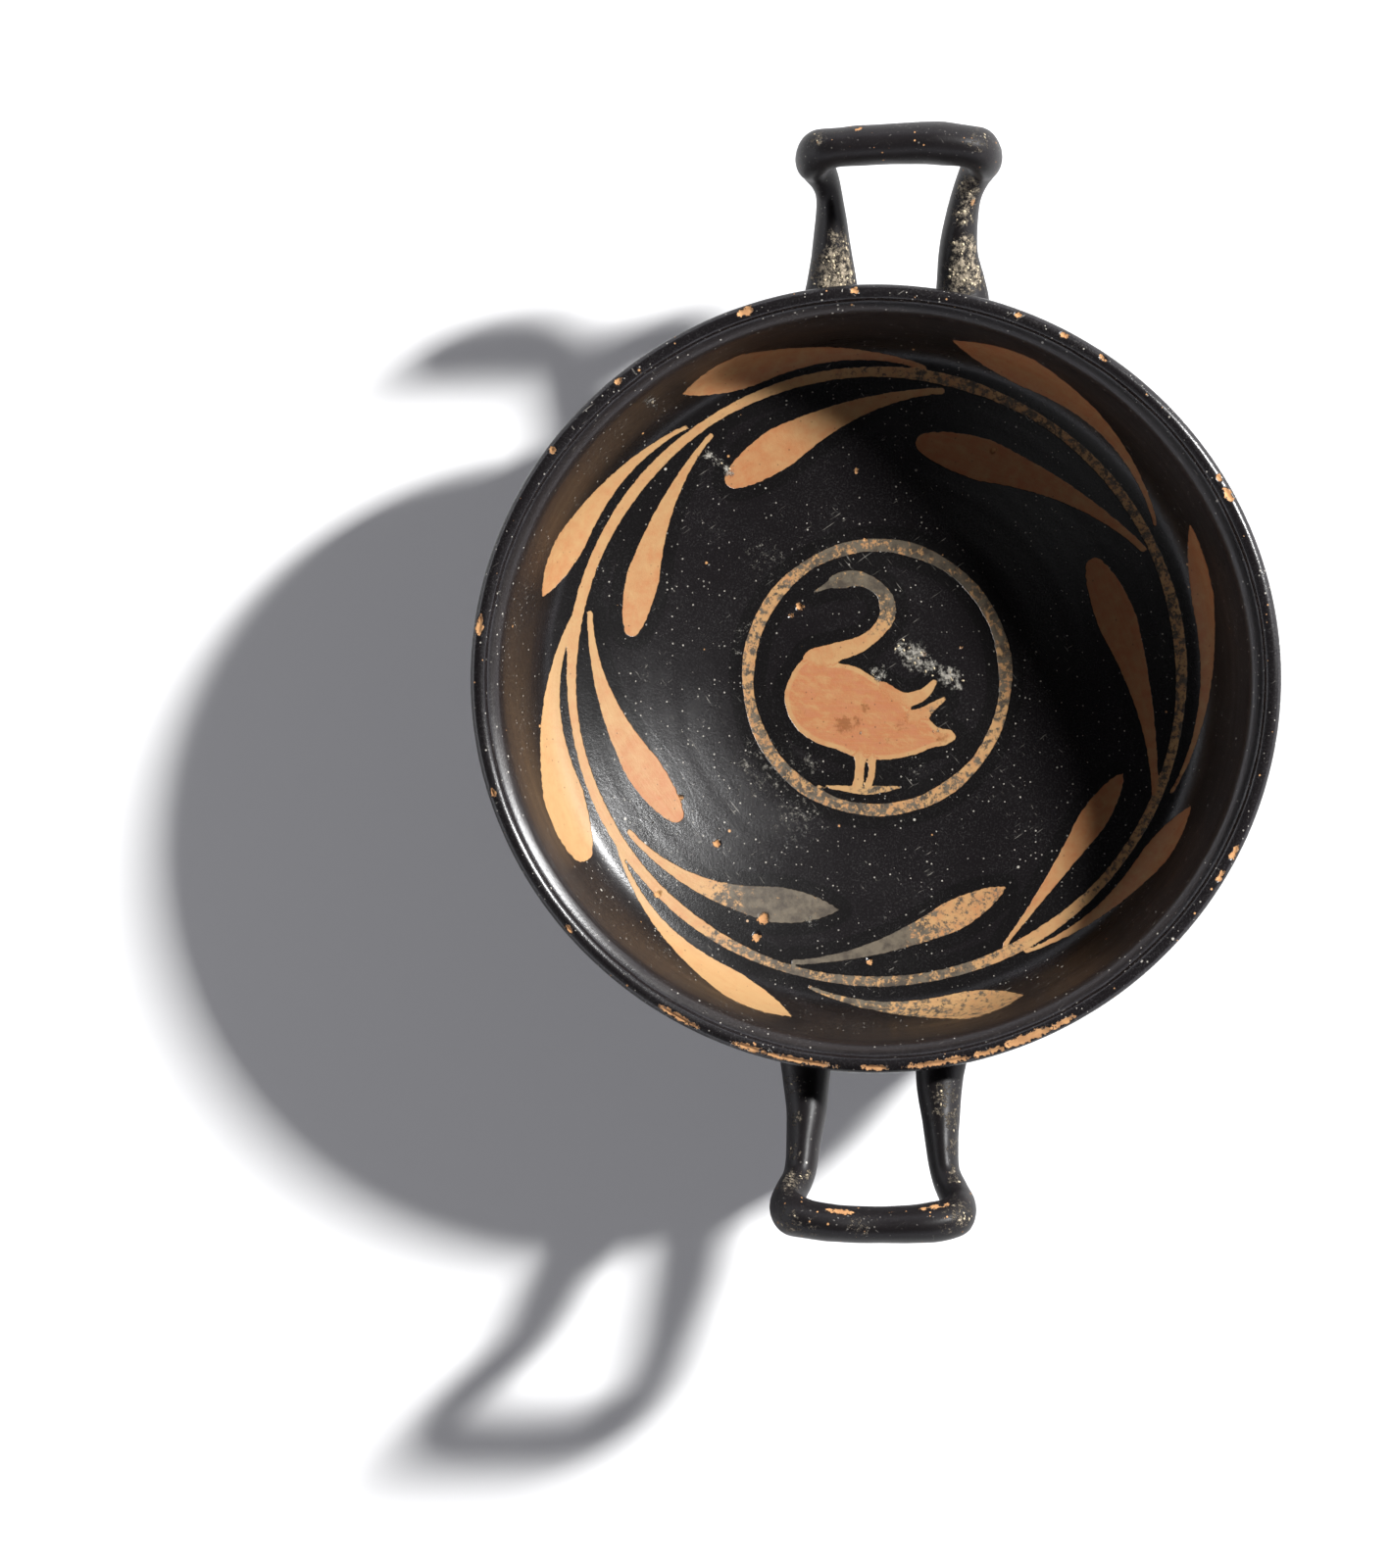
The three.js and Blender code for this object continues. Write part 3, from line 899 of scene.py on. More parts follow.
@dataclass(frozen=True)
class HandleSizes:
    """One rolled rod, bent into a flat U that turns up at its end.

    Each station is the rod's distance across the cup from the axis, its distance from the axis along
    the handle, its height and its radius, all the way from one root in the wall to the other.
    """

    name: str
    side: Side
    stations: tuple[Station, ...]

    def path(self) -> np.ndarray:
        """Run the rod from root to root, with its radius."""
        return spline([(x, self.side.value * reach, up, radius) for x, reach, up, radius in self.stations], 8)


NORTH = HandleSizes(
    "north_handle",
    Side.NORTH,
    (
        (16.4, 67.4, 40.6, 4.2), (16.4, 70.6, 40.6, 5.1), (16.1, 75.0, 40.8, 4.6),
        (15.6, 80.3, 41.8, 3.7), (16.1, 86.0, 42.8, 3.2), (17.2, 91.3, 44.8, 2.85),
        (18.7, 95.0, 47.6, 3.0), (20.0, 97.0, 52.0, 3.2), (20.2, 97.6, 57.6, 3.3),
        (18.7, 98.6, 61.2, 3.55), (12.5, 99.4, 62.2, 3.9), (4.1, 99.4, 62.2, 3.7),
        (-4.0, 99.0, 62.0, 3.65), (-9.8, 98.3, 61.2, 3.5), (-11.8, 97.3, 57.4, 3.2),
        (-11.4, 96.6, 52.0, 3.0), (-9.9, 94.6, 47.6, 2.8), (-8.8, 91.3, 44.8, 2.5),
        (-8.3, 86.0, 42.8, 3.05), (-8.2, 80.3, 41.8, 3.8), (-8.2, 75.0, 40.8, 4.7),
        (-8.3, 71.6, 40.6, 5.2), (-8.3, 68.8, 40.6, 4.3),
    ),
)
SOUTH = HandleSizes(
    "south_handle",
    Side.SOUTH,
    (
        (12.4, 68.2, 40.4, 4.2), (12.4, 71.2, 40.4, 4.9), (12.2, 75.5, 40.8, 4.5),
        (12.35, 82.0, 41.8, 3.75), (12.6, 87.5, 43.2, 3.2), (13.3, 93.0, 45.4, 2.8),
        (14.8, 96.6, 48.6, 2.9), (15.8, 99.0, 52.2, 3.1), (15.2, 100.4, 55.8, 3.3),
        (11.0, 101.5, 57.4, 3.6), (0.0, 101.9, 58.0, 3.4), (-9.0, 101.5, 58.2, 3.5),
        (-14.6, 100.4, 57.2, 3.4), (-16.5, 99.1, 53.6, 3.2), (-16.0, 97.0, 49.6, 2.95),
        (-14.3, 93.6, 44.8, 2.9), (-13.4, 87.5, 41.6, 3.3), (-13.0, 82.0, 39.4, 3.85),
        (-13.1, 75.5, 37.8, 4.5), (-13.2, 71.2, 37.6, 4.9), (-13.2, 67.4, 37.8, 4.2),
    ),
)


def interface(tree: bpy.types.NodeTree, sockets: dict[str, tuple[str, Any]]) -> dict[str, str]:
    """Give a geometry tree its geometry sockets and its named sizes.

    Args:
        tree: the geometry tree.
        sockets: type and default of each size, by name.

    Returns:
        The identifier of each size's socket.
    """
    tree.interface.new_socket("Geometry", in_out="INPUT", socket_type="NodeSocketGeometry")
    tree.interface.new_socket("Geometry", in_out="OUTPUT", socket_type="NodeSocketGeometry")
    found = {}
    for name, (kind, value) in sockets.items():
        item = tree.interface.new_socket(name, in_out="INPUT", socket_type=kind)
        if value is not None:
            item.default_value = value
        found[name] = item.identifier
    return found


def apply_tree(target: bpy.types.Object, tree: bpy.types.NodeTree, values: dict[str, Any]) -> None:
    """Hang a geometry tree on an object.

    Args:
        target: object that gets the modifier.
        tree: the geometry tree.
        values: value of each input, by socket identifier.
    """
    modifier = target.modifiers.new(tree.name, "NODES")
    modifier.node_group = tree
    for identifier, value in values.items():
        modifier[identifier] = value


class Handle:
    """A rolled clay rod, swept along its path by a geometry tree."""

    def __init__(self, sizes: HandleSizes) -> None:
        """Keep the handle's sizes."""
        self.sizes = sizes

    def roots(self) -> list[np.ndarray]:
        """Find where the rod meets the wall, at both ends."""
        ends = (self.sizes.stations[1], self.sizes.stations[-2])
        reach = self.sizes.side.value * WALL_REACH
        return [np.array([x, reach, height]) for x, _, height, _ in ends]

    def curve(self) -> bpy.types.Object:
        """Lay the rod's path in the scene as a curve.

        Returns:
            The curve, with the rod's radius at each point.
        """
        path = self.sizes.path()
        data = bpy.data.curves.new(self.sizes.name, "CURVE")
        data.dimensions = "3D"
        line = data.splines.new("POLY")
        line.points.add(len(path) - 1)
        for point, (x, y, z, radius) in zip(line.points, path):
            point.co = (x * MM, (y + AXIS_Y) * MM, z * MM, 1)
            point.radius = radius * MM
        made = bpy.data.objects.new(self.sizes.name, data)
        bpy.context.scene.collection.objects.link(made)
        return made

    def build(self, material: bpy.types.Material) -> bpy.types.Object:
        """Sweep the rod.

        Args:
            material: finish of the rod.

        Returns:
            The rod as a plain closed mesh.
        """
        tree = bpy.data.node_groups.new("rolled_rod", "GeometryNodeTree")
        ids = interface(
            tree,
            {
                "Sides": ("NodeSocketInt", 40),
                "Ring Spacing": ("NodeSocketFloat", 0.8 * MM),
                "Unevenness": ("NodeSocketFloat", 0.5 * MM),
                "Lumps Per Metre": ("NodeSocketFloat", 90.0),
                "Extra Depth": ("NodeSocketFloat", 0.85),
                "Share Where It Climbs": ("NodeSocketFloat", 0.35),
                "Oval Starts At": ("NodeSocketFloat", 71.0 * MM),
                "Oval Full At": ("NodeSocketFloat", 90.0 * MM),
                "Material": ("NodeSocketMaterial", None),
            },
        )
        node = partial(add_node, tree)
        given = node("NodeGroupInput").outputs
        spacing = {"Curve": given["Geometry"], "Length": given["Ring Spacing"]}
        rings = node("GeometryNodeResampleCurve", spacing, mode="LENGTH")
        here = node("GeometryNodeInputPosition").outputs[0]
        along = node("GeometryNodeInputTangent").outputs[0]
        middle = node("GeometryNodeCaptureAttribute", {"Geometry": rings}, domain="POINT")
        for name, source in (("Middle", here), ("Direction", along)):
            middle.capture_items.new("VECTOR", name)
            tree.links.new(source, middle.inputs[name])
        profile = node("GeometryNodeCurvePrimitiveCircle", {"Resolution": given["Sides"], "Radius": 1.0})
        sweep = {
            "Curve": middle,
            "Profile Curve": profile,
            "Scale": node("GeometryNodeInputRadius"),
            "Fill Caps": True,
        }
        rod = node("GeometryNodeCurveToMesh", sweep)

        # The section is an oval: upright along the legs and the bar, and lying along the handle where
        # the rod climbs.
        place = node("ShaderNodeSeparateXYZ", (here,)).outputs
        reach = node(MATH, (place["Y"],), operation="ABSOLUTE")
        growth = {
            "Value": reach,
            "From Min": given["Oval Starts At"],
            "From Max": given["Oval Full At"],
            "To Max": given["Extra Depth"],
        }
        extra = node(RANGE, growth, **SMOOTH)
        climb = node("ShaderNodeSeparateXYZ", (middle.outputs["Direction"],)).outputs
        steep = node(MATH, (climb["Z"],), operation="ABSOLUTE")
        share = node(MATH, (steep, given["Share Where It Climbs"]), operation="MULTIPLY")
        axes = node("ShaderNodeCombineXYZ", {"Y": share, "Z": 1.0})
        stretch = node("ShaderNodeVectorMath", {0: axes, "Scale": extra}, operation="SCALE")
        out = node("ShaderNodeVectorMath", (here, middle.outputs["Middle"]), operation="SUBTRACT")
        shift = node("ShaderNodeVectorMath", (out, stretch), operation="MULTIPLY")
        oval = node("GeometryNodeSetPosition", {"Geometry": rod, "Offset": shift})

        # A rod rolled by hand is a little uneven.
        lumps = node(NOISE, {"Scale": given["Lumps Per Metre"], "Detail": 1.0}).outputs["Color"]
        centred = node("ShaderNodeVectorMath", (lumps, (0.5, 0.5, 0.5)), operation="SUBTRACT")
        push = node("ShaderNodeVectorMath", {0: centred, "Scale": given["Unevenness"]}, operation="SCALE")
        uneven = node("GeometryNodeSetPosition", {"Geometry": oval, "Offset": push})
        real = node("GeometryNodeRealizeInstances", (uneven,))
        dressed = node("GeometryNodeSetMaterial", {"Geometry": real, "Material": given["Material"]})
        node("NodeGroupOutput", (dressed,))
        source = self.curve()
        apply_tree(source, tree, {ids["Material"]: material})
        return as_plain_mesh(source, self.sizes.name)


# ---- Finishes -----------------------------------------------------------------------------------


@dataclass(frozen=True)
class SlipGlazedClay:
    """Attic black gloss on fine orange clay.

    The slip is a levigated clay that sinters to a thin black skin with the sheen of worn enamel.
    Where it was left off, the clay's own burnished orange shows, greyed where the kiln misfired.
    """

    slip: str = "100e0f"
    thick_slip: str = "0b0a0a"  # the line of slip laid round each figure first
    thin_slip: str = "191412"
    grain: str = "595858"
    speck: str = "938f87"
    clay_pale: str = "92744f"
    clay_buff: str = "8a6947"
    clay_orange: str = "8a5636"
    clay_wash: str = "8c5b42"
    clay_grey: str = "2b2a28"
    clay_ash: str = "4a463d"
    raw_clay: str = "a07850"
    raw_shade: str = "8a6442"
    lime: str = "98948b"
    lime_cream: str = "9b8f7c"
    stain: str = "5b3516"
    pock: str = "413123"
    slip_roughness: float = 0.26
    clay_roughness: float = 0.5
    matt_roughness: float = 0.88
    grain_size: float = 0.4  # millimetres between the finest pits, drawn a little coarse so that they show
    speck_cell: float = 1.0  # millimetres between the fine pale specks
    grit_cell: float = 4.0  # millimetres between the larger specks
    rub_cell: float = 1.5  # millimetres between the worn pinpricks of the lip
    pock_cell: float = 1.1  # millimetres between the pocks of bare clay
    waver: float = 1.2  # millimetres between the waves of the slip's edge
    mottle_size: float = 2.6  # millimetres between patches of stronger and paler clay
    drift_size: float = 16.0  # millimetres between areas of more and less wear
    wipe_size: float = 2.0  # millimetres between the streaks of the wash
    blot_size: float = 1.4  # millimetres between kiln blots
    flake_grain: float = 1.1  # millimetres between the jags of a flake and of the crust
    ripple_size: float = 2.2  # millimetres between the ripples of the slip
    skin_size: float = 0.55  # millimetres between the dimples of its skin
    slip_step: float = 0.07  # thickness of the slip's edge
    outline: float = 2.5  # width of the thick line of slip round each figure

    def build(self) -> bpy.types.Material:
        """Make the material.

        Returns:
            The finished material.
        """
        material = bpy.data.materials.new("attic_black_gloss_on_clay")
        material.use_nodes = True
        material.node_tree.nodes.clear()
        GlossLayers(self, material.node_tree).lay_all()
        return material


class GlossLayers:
    """The layers of black gloss on clay, from the clay up to the lime that lies on it."""

    def __init__(self, look: SlipGlazedClay, tree: bpy.types.NodeTree) -> None:
        """Read what the mesh carries, and work out what several layers share.

        Args:
            look: colours, gloss and pattern sizes.
            tree: node tree of the material.
        """
        self.look = look
        self.node = node = partial(add_node, tree)
        place = node("ShaderNodeTexCoord").outputs["Object"]
        self.mm = mm = node("ShaderNodeVectorMath", {0: place, "Scale": 1 / MM}, operation="SCALE")
        self.figure, self.grey, self.rosy, self.thin, self.chip, self.lime, self.stain, self.rub = (
            node("ShaderNodeAttribute", attribute_name=name).outputs["Fac"]
            for name in ("figure", "grey", "rosy", "thin", "chip", "lime", "stain", "rub")
        )
        self.brush, self.wheel = (
            node("ShaderNodeAttribute", attribute_name=name).outputs["Vector"] for name in ("brush", "wheel")
        )

        # Where the clay is bare: the slip's edge wavers by a tenth of a millimetre.
        waves = node(NOISE, {"Vector": mm, "Scale": 1 / look.waver, "Detail": 3.0})
        wave = node(MATH, (waves, 0.5), operation="SUBTRACT")
        edge = node(MATH, (wave, 0.4, self.figure), operation="MULTIPLY_ADD")
        self.bare = node(RANGE, (edge, -0.06, 0.08), **SMOOTH)
        self.lined = node(RANGE, (self.figure, -look.outline - 0.15, -look.outline + 0.15), **SMOOTH)

        # The handles have duller slip with fewer pits, and creamier lime.
        self.by_hand = node(RANGE, (self.rosy, 0.97, 0.99), **SMOOTH)
        mottle = {"Vector": mm, "Scale": 1 / look.mottle_size, "Detail": 4.0, "Roughness": 0.65}
        self.mottle = node(NOISE, mottle)
        self.mottled = node(RANGE, (self.mottle, 0.35, 0.65), **SMOOTH)
        drift = {"Vector": mm, "Scale": 1 / look.drift_size, "Detail": 4.0, "Roughness": 0.62}
        self.drift = node(NOISE, drift)

        # The slip is thin below the lip, in rings left by the wheel.
        turned = node("ShaderNodeVectorMath", (self.wheel, (2.2, 2.2, 2.4)), operation="MULTIPLY")
        self.rings = node(NOISE, {"Vector": turned, "Scale": 1.0, "Detail": 4.0, "Roughness": 0.62})
        ringed = node(MATH, (self.drift, 0.5, self.rings), operation="MULTIPLY_ADD")
        uneven = node(RANGE, (ringed, 0.5, 0.95, 0.35, 1.0), **SMOOTH)
        self.thinned = node(MATH, (self.thin, uneven), operation="MULTIPLY")

        # Bare clay is streaked along the path of the brush.
        streaks = node("ShaderNodeVectorMath", (self.brush, (0.09, 1.6, 1.0)), operation="MULTIPLY")
        self.brushed = node(NOISE, {"Vector": streaks, "Scale": 1.0, "Detail": 3.0, "Roughness": 0.6})

    def specks(self, cell: float, rarest: float, largest: float, share: Any = 1.0) -> tuple[Any, Any]:
        """Scatter round specks.

        Args:
            cell: millimetres between specks.
            rarest: share of the cells that stay empty.
            largest: radius of the largest speck, as a share of a cell.
            share: shrinks the specks where it is under 1.

        Returns:
            The mask of the specks, and a random value for each.
        """
        node = self.node
        cells = node("ShaderNodeTexVoronoi", {"Vector": self.mm, "Scale": 1 / cell}, feature="F1").outputs
        random = node("ShaderNodeSeparateColor", (cells["Color"],)).outputs
        grown = node(RANGE, (random[0], rarest, 1.0, 0.0, largest), **SMOOTH)
        size = node(MATH, (grown, share), operation="MULTIPLY")
        inside = node(MATH, (size, cells["Distance"]), operation="SUBTRACT")
        return node(RANGE, (inside, -0.015, 0.02), **SMOOTH), random[1]

    def slip(self) -> Any:
        """Colour the slip: thicker round the figures, thin and brown below the lip.

        Returns:
            The colour.
        """
        node, look = self.node, self.look
        thick = node(MATH, (self.lined, 0.75), operation="MULTIPLY")
        ends = {6: linear(look.slip), 7: linear(look.thick_slip)}
        slip = node(MIX, {0: thick, **ends}, **COLOURS).outputs[2]
        return node(MIX, {0: self.thinned, 6: slip, 7: linear(look.thin_slip)}, **COLOURS).outputs[2]

    def wear(self, slip: Any) -> Any:
        """Wear the slip: fine pits, pale specks in drifts, grit, and scratches in two directions.

        Args:
            slip: colour of the slip.

        Returns:
            The colour of the worn slip.
        """
        node, look, mm = self.node, self.look, self.mm
        worn = node(RANGE, (self.drift, 0.3, 0.62, 0.35, 1.0), **SMOOTH)
        thick = node(RANGE, (self.lined, 0.0, 1.0, 1.0, 0.7), **SMOOTH)
        tough = node(RANGE, (self.by_hand, 0.0, 1.0, 1.0, 0.3), **SMOOTH)
        open_slip = node(MATH, (worn, thick), operation="MULTIPLY")
        open_slip = node(MATH, (open_slip, tough), operation="MULTIPLY")

        grains = {"Vector": mm, "Scale": 1 / look.grain_size, "Detail": 6.0, "Roughness": 0.85}
        pits = node(RANGE, (node(NOISE, grains), 0.5, 0.78, 0.0, 0.42), **SMOOTH)
        pitted = node(MATH, (pits, open_slip), operation="MULTIPLY")
        slip = node(MIX, {0: pitted, 6: slip, 7: linear(look.grain)}, **COLOURS).outputs[2]

        fine, _ = self.specks(look.speck_cell, 0.4, 0.19)
        fine = node(MATH, (fine, open_slip), operation="MULTIPLY")
        fine = node(MATH, (fine, 0.8), operation="MULTIPLY")
        slip = node(MIX, {0: fine, 6: slip, 7: linear(look.speck)}, **COLOURS).outputs[2]

        grit, kind = self.specks(look.grit_cell, 0.35, 0.075)
        grit = node(MATH, (grit, 0.9), operation="MULTIPLY")
        earthy = node(RANGE, (kind, 0.6, 0.65), **SMOOTH)
        ends = {6: linear(look.speck), 7: linear(look.raw_clay)}
        stone = node(MIX, {0: earthy, **ends}, **COLOURS).outputs[2]
        slip = node(MIX, {0: grit, 6: slip, 7: stone}, **COLOURS).outputs[2]

        scratched = node(RANGE, (self.drift, 0.5, 0.62), **SMOOTH)
        for angle, spacing in ((0.6, 0.5), (-0.9, 0.42)):
            turn = {"Vector": mm, "Rotation": (0.0, 0.0, angle), "Scale": (16.0, 1.0, 1.0)}
            along = node("ShaderNodeMapping", turn, vector_type="TEXTURE")
            lines = node(NOISE, {"Vector": along, "Scale": 1 / spacing})
            line = node(RANGE, (lines, 0.68, 0.76), **SMOOTH)
            line = node(MATH, (line, scratched), operation="MULTIPLY")
            line = node(MATH, (line, 0.4), operation="MULTIPLY")
            slip = node(MIX, {0: line, 6: slip, 7: linear(look.speck)}, **COLOURS).outputs[2]
        return slip

    def burnished_clay(self) -> Any:
        """Colour the bare clay: buff to orange in brush streaks, with a pink wash on the swan.

        Returns:
            The colour.
        """
        node, look = self.node, self.look
        # Clay with a rosy value round 0.9, as the swan's body has, gets the wash.
        over = node(RANGE, (self.rosy, 0.86, 0.9), **SMOOTH)
        below = node(RANGE, (self.rosy, 0.96, 0.92), **SMOOTH)
        painted = node(MATH, (over, below), operation="MULTIPLY")
        shift = node(MATH, (self.mottle, 0.5), operation="SUBTRACT")
        rosiness = node(MATH, (self.rosy, 0.9), operation="MULTIPLY")
        warmth = node(MATH, (shift, 1.2, rosiness), operation="MULTIPLY_ADD")
        border = node(RANGE, (self.figure, 0.7, 1.2, 1.0, 0.0), **SMOOTH)
        border = node(MATH, (painted, border), operation="MULTIPLY")
        warmth = node(MATH, (border, -0.5, warmth), operation="MULTIPLY_ADD")
        warm = node(RANGE, (warmth, 0.0, 1.0), **SMOOTH)
        ends = {6: linear(look.clay_pale), 7: linear(look.clay_orange)}
        clay = node(MIX, {0: warm, **ends}, **COLOURS).outputs[2]
        streaks = node(RANGE, (self.brushed, 0.35, 0.75, 0.0, 0.4), **SMOOTH)
        clay = node(MIX, {0: streaks, 6: clay, 7: linear(look.clay_buff)}, **COLOURS).outputs[2]

        turn = {"Vector": self.mm, "Rotation": (0.0, 0.0, -0.35), "Scale": (2.2, 1.0, 1.0)}
        smeared = node("ShaderNodeMapping", turn, vector_type="TEXTURE")
        wiping = {"Vector": smeared, "Scale": 1 / look.wipe_size, "Detail": 6.0, "Roughness": 0.8}
        wiped = node(NOISE, wiping)
        middle = node(RANGE, (self.figure, 0.7, 1.1), **SMOOTH)
        washed = node(MATH, (painted, middle), operation="MULTIPLY")
        washes = ((look.clay_wash, (0.42, 0.66, 0.0, 0.62)), (look.clay_pale, (0.52, 0.36, 0.0, 0.45)))
        for wash, limits in washes:
            share = node(RANGE, (wiped, *limits), **SMOOTH)
            share = node(MATH, (washed, share), operation="MULTIPLY")
            clay = node(MIX, {0: share, 6: clay, 7: linear(wash)}, **COLOURS).outputs[2]
        return clay

    def fired(self, clay: Any) -> Any:
        """Mark the bare clay: grey from the kiln and, on the upper right, painted shade; brown stains and
        dark pocks.

        Args:
            clay: colour of the clay.

        Returns:
            The colour of the marked clay.
        """
        node, look = self.node, self.look
        blotting = {"Vector": self.mm, "Scale": 1 / look.blot_size, "Detail": 6.0, "Roughness": 0.78}
        blots = node(MATH, (node(NOISE, blotting), 0.5), operation="SUBTRACT")
        ash = node(MATH, (blots, 4.4, self.grey), operation="MULTIPLY_ADD")
        ash = node(RANGE, (ash, 0.3, 0.75), **SMOOTH)
        # Grey clay: kiln grey, and painted shade on the upper right of the stem and the ring.
        kiln_grey_and_shade = node(RANGE, (self.grey, 0.02, 0.25), **SMOOTH)
        ash = node(MATH, (ash, kiln_grey_and_shade), operation="MULTIPLY")
        ash = node(MATH, (ash, 0.94), operation="MULTIPLY")
        ends = {6: linear(look.clay_grey), 7: linear(look.clay_ash)}
        greys = node(MIX, {0: self.mottled, **ends}, **COLOURS).outputs[2]
        clay = node(MIX, {0: ash, 6: clay, 7: greys}, **COLOURS).outputs[2]

        stained = node(MATH, (blots, 3.0, self.stain), operation="MULTIPLY_ADD")
        stained = node(RANGE, (stained, 0.4, 0.95), **SMOOTH)
        stained = node(MATH, (stained, 0.6), operation="MULTIPLY")
        clay = node(MIX, {0: stained, 6: clay, 7: linear(look.stain)}, **COLOURS).outputs[2]

        pocks, _ = self.specks(look.pock_cell, 0.4, 0.16)
        pocks = node(MATH, (pocks, 0.55), operation="MULTIPLY")
        return node(MIX, {0: pocks, 6: clay, 7: linear(look.pock)}, **COLOURS).outputs[2]

    def flaked(self) -> Any:
        """Find where the clay has flaked, or is rubbed through the lip's slip in pinpricks.

        Returns:
            The mask.
        """
        node, look = self.node, self.look
        flaking = {"Vector": self.mm, "Scale": 1 / look.flake_grain, "Detail": 5.0, "Roughness": 0.75}
        ragged = node(MATH, (node(NOISE, flaking), 0.52), operation="SUBTRACT")
        flake = node(MATH, (ragged, 2.6, self.chip), operation="MULTIPLY_ADD")
        flake = node(RANGE, (flake, -0.03, 0.06), **SMOOTH)
        pricks, _ = self.specks(look.rub_cell, 0.35, 0.2, self.rub)
        rubbed = node(RANGE, (self.rub, 0.05, 0.3), **SMOOTH)
        flecked = node(MATH, (pricks, rubbed), operation="MULTIPLY")
        return node(MATH, (flake, flecked), operation="MAXIMUM")

    def lay_all(self) -> None:
        """Lay the layers on one another and give the whole its gloss and its relief."""
        node, look, mm, bare = self.node, self.look, self.mm, self.bare
        colours = {6: self.wear(self.slip()), 7: self.fired(self.burnished_clay())}
        colour = node(MIX, {0: bare, **colours}, **COLOURS).outputs[2]

        # Flakes show raw clay, and lime lies on top of everything.
        flaked = self.flaked()
        ends = {6: linear(look.raw_shade), 7: linear(look.raw_clay)}
        raw = node(MIX, {0: self.mottled, **ends}, **COLOURS).outputs[2]
        colour = node(MIX, {0: flaked, 6: colour, 7: raw}, **COLOURS).outputs[2]
        crust = node(NOISE, {"Vector": mm, "Scale": 1 / look.flake_grain, "Detail": 6.0, "Roughness": 0.82})
        limed = node(MATH, (crust, 0.5), operation="SUBTRACT")
        limed = node(MATH, (limed, 3.4, self.lime), operation="MULTIPLY_ADD")
        limed = node(RANGE, (limed, 0.75, 1.25), **SMOOTH)
        some = node(RANGE, (self.lime, 0.02, 0.2), **SMOOTH)
        limed = node(MATH, (limed, some), operation="MULTIPLY")
        cover = node(MATH, (limed, 0.9), operation="MULTIPLY")
        ends = {6: linear(look.lime), 7: linear(look.lime_cream)}
        chalk = node(MIX, {0: self.by_hand, **ends}, **COLOURS).outputs[2]
        colour = node(MIX, {0: cover, 6: colour, 7: chalk}, **COLOURS).outputs[2]

        # Gloss: from the slip over the clay to the matt of flakes and lime.
        rough = node(MATH, (self.drift, 0.5), operation="SUBTRACT")
        rough = node(MATH, (rough, 0.14, look.slip_roughness), operation="MULTIPLY_ADD")
        rough = node(MATH, (self.thinned, 0.1, rough), operation="MULTIPLY_ADD")
        rough = node(MATH, (self.by_hand, 0.16, rough), operation="MULTIPLY_ADD")
        rough = node(MIX, {0: bare, 2: rough, 3: look.clay_roughness}, data_type="FLOAT")
        matt = node(MATH, (flaked, limed), operation="MAXIMUM")
        rough = node(MIX, {0: matt, 2: rough, 3: look.matt_roughness}, data_type="FLOAT")
        mirror = node(RANGE, (bare, 0.0, 1.0, 0.28, 0.18), **SMOOTH)
        dull = node(RANGE, (self.by_hand, 0.0, 1.0, 1.0, 0.55), **SMOOTH)
        mirror = node(MATH, (mirror, dull), operation="MULTIPLY")

        # Relief in millimetres: the slip's edges, its skin, the wheel's rings, flakes and lime.
        covered = node(MATH, (1.0, bare), operation="SUBTRACT")
        height = node(MATH, (covered, look.slip_step), operation="MULTIPLY")
        ripples = node(NOISE, {"Vector": mm, "Scale": 1 / look.ripple_size, "Detail": 3.0, "Roughness": 0.6})
        skin = node(NOISE, {"Vector": mm, "Scale": 1 / look.skin_size, "Detail": 4.0, "Roughness": 0.8})
        layers = (
            (self.lined, 0.006),
            (ripples, 0.02),
            (skin, 0.03),
            (self.rings, node(MATH, (self.thin, 0.02), operation="MULTIPLY")),
            (self.brushed, node(MATH, (bare, 0.03), operation="MULTIPLY")),
            (flaked, -0.05),
            (limed, node(MATH, (crust, 0.45), operation="MULTIPLY")),
        )
        for layer, thickness in layers:
            height = node(MATH, (layer, thickness, height), operation="MULTIPLY_ADD")
        bump = node("ShaderNodeBump", {"Strength": 1.0, "Distance": MM, "Height": height})

        gloss = {"Base Color": colour, "Roughness": rough, "IOR": 1.45, "Specular IOR Level": mirror}
        shader = node("ShaderNodeBsdfPrincipled", {**gloss, "Normal": bump})
        node("ShaderNodeOutputMaterial", {"Surface": shader})


